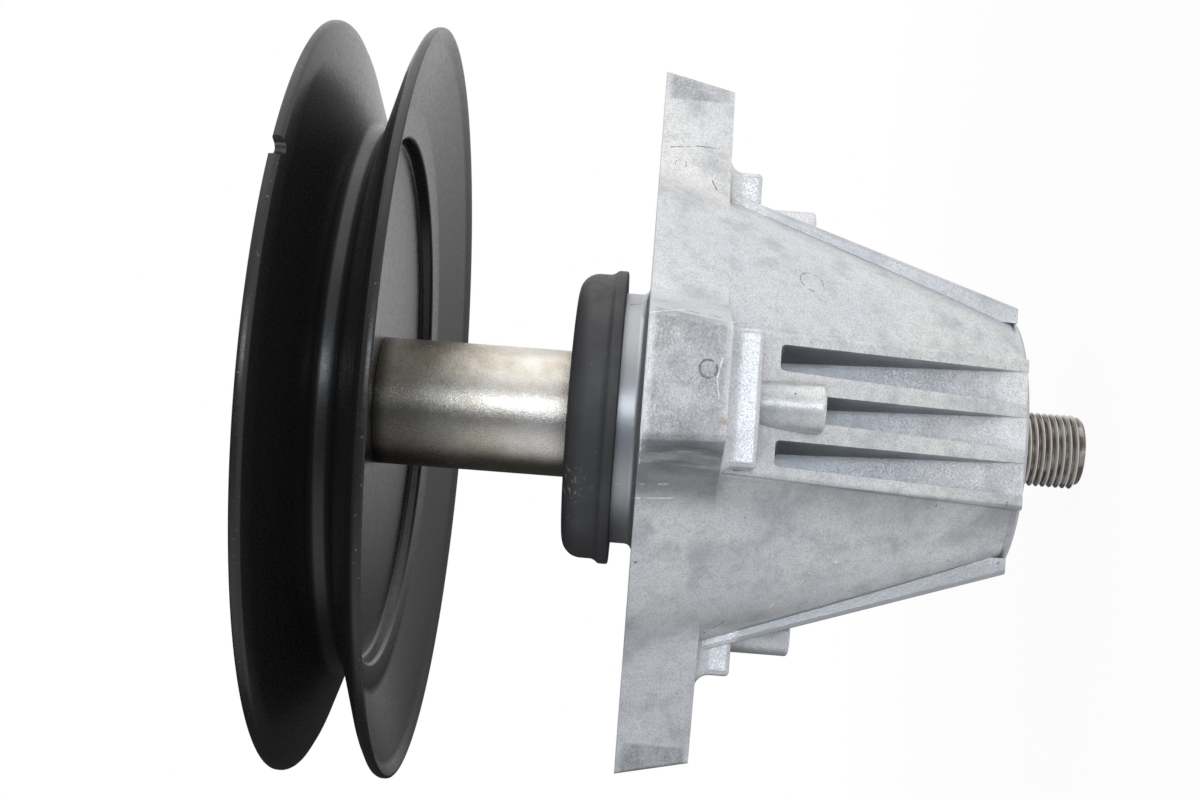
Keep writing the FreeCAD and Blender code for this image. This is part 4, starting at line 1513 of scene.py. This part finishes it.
@dataclass
class Studio:
    """White floor, white surround and soft lamps.

    The floor is measured in metres. The other spans are components of a direction of unit length.
    """

    floor_size: float = 0.9
    floor_clear: float = 0.14
    floor_fade: float = 0.46
    floor_paint: Colour = (0.9, 0.9, 0.9)
    floor_front: Colour = (0.60, 0.615, 0.65)
    floor_rise: Span = (-0.12, 0.10)
    floor_shade: Span = (-0.07, 0.09)
    floor_back: Span = (0.02, 0.14)
    shadow_share: float = 0.06
    light_low: Colour = (0.50, 0.51, 0.53)
    light_high: Colour = WHITE
    light_rise: Span = (-0.9, 0.9)
    front_low: Colour = (0.15, 0.165, 0.19)
    front_high: Colour = (0.88, 0.89, 0.91)
    front_rise: Span = (-0.25, 0.85)
    front_floor: Colour = (0.76, 0.775, 0.81)
    front_fall: Span = (-0.38, -0.88)
    under: Colour = (0.04, 0.04, 0.04)
    sweep_rise: Span = (-0.04, 0.18)
    sweep_start: Span = (-0.25, 0.30)
    lamps: Tuple[Lamp, ...] = (
        Lamp("key", (0.10, -1.10, -0.04), 0.16, 0.75, 3.25, (0.88, 0.94, 1.0)),
        Lamp("top", (0.80, -0.18, 0.0), 1.00, 1.30, 2.6, (1.0, 0.99, 0.97)),
    )

    def surround(self) -> None:
        """A white world for the camera, an even one for light and a shaded one for reflections."""
        world = bpy.data.worlds.new("white_surround")
        bpy.context.scene.world = world
        graph = Graph(world, "Generated")
        ray = graph.node("LightPath").outputs
        seen = graph.plain("Background", WHITE)
        lit = graph.plain("Background", self.lighting(graph))
        mirrored = graph.plain("Background", self.reflected(graph))
        ambient = graph.choice(ray["Is Glossy Ray"], lit, mirrored)
        through = graph.choice(ray["Is Transmission Ray"], ambient, seen)
        graph.close("World", graph.choice(ray["Is Camera Ray"], through, seen))

    def lighting(self, graph: Graph) -> Socket:
        """Even light that is stronger from the photograph's upper side."""
        return graph.blend(graph.step(graph.along("X"), *self.light_rise), self.light_low, self.light_high)

    def reflected(self, graph: Graph) -> Socket:
        """What reflections see: a dim band in front with light over and under it, and a sweep to white behind.

        Args:
            graph: The world's nodes.

        Returns:
            The colour.
        """
        up = graph.along("X")
        sweep = graph.blend(graph.step(up, *self.sweep_rise), self.under, WHITE)
        front = graph.blend(graph.step(up, *self.front_rise), self.front_low, self.front_high)
        front = graph.blend(graph.step(up, *self.front_fall), front, self.front_floor)
        return graph.blend(graph.step(graph.along("Y"), *self.sweep_start), front, sweep)

    def white_floor(self, height: float) -> Material:
        """White that keeps a faint shadow, and that reflections show shaded to the lower side.

        Args:
            height: The floor's height, in metres.

        Returns:
            The floor's material.
        """
        material = bpy.data.materials.new("white_floor")
        graph = Graph(material)
        ray = graph.node("LightPath").outputs
        far = graph.step(graph.distance((0.0, 0.0, height)), self.floor_clear, self.floor_size * self.floor_fade,
                         1.0 - self.shadow_share, 1.0)
        matt, white = graph.plain("BsdfDiffuse", self.floor_paint), graph.plain("Emission", WHITE)
        seen = graph.choice(graph.times(ray["Is Camera Ray"], far), matt, white)
        across = graph.along("X")
        before = graph.blend(graph.step(across, *self.floor_rise), self.floor_front, WHITE)
        behind = graph.blend(graph.step(across, *self.floor_shade), self.under, WHITE)
        shaded = graph.blend(graph.step(graph.along("Y"), *self.floor_back), before, behind)
        graph.close("Material", graph.choice(ray["Is Glossy Ray"], seen, graph.plain("Emission", shaded)))
        return material

    def floor(self, height: float) -> None:
        """Lay the floor.

        Args:
            height: Its height, in metres.
        """
        mesh = bmesh.new()
        bmesh.ops.create_grid(mesh, x_segments=1, y_segments=1, size=self.floor_size / 2,
                              matrix=Matrix.Translation((0, 0, height)))
        floor = placed("floor", stored("floor", mesh))
        floor.data.materials.append(self.white_floor(height))

    def build(self) -> None:
        """Set up the floor, the surround, the lamps and the view settings."""
        low, high = CAD_BOX
        self.floor(low.z)
        self.surround()
        for lamp in self.lamps:
            lamp.build((low + high) / 2)
        bpy.context.scene.view_settings.view_transform = "Standard"


def main() -> None:
    """Build every sub-assembly, then the studio and the camera."""
    logging.basicConfig(level=logging.INFO, format="%(name)s: %(message)s")
    for part in (CastHousing(), SpindleShaft(), BallBearings(), SpacerTube(), DustShield(), PressedPulley(),
                 PulleyNut(), Studio(), PhotoCamera()):
        part.build()


if __name__ == "__main__":
    main()
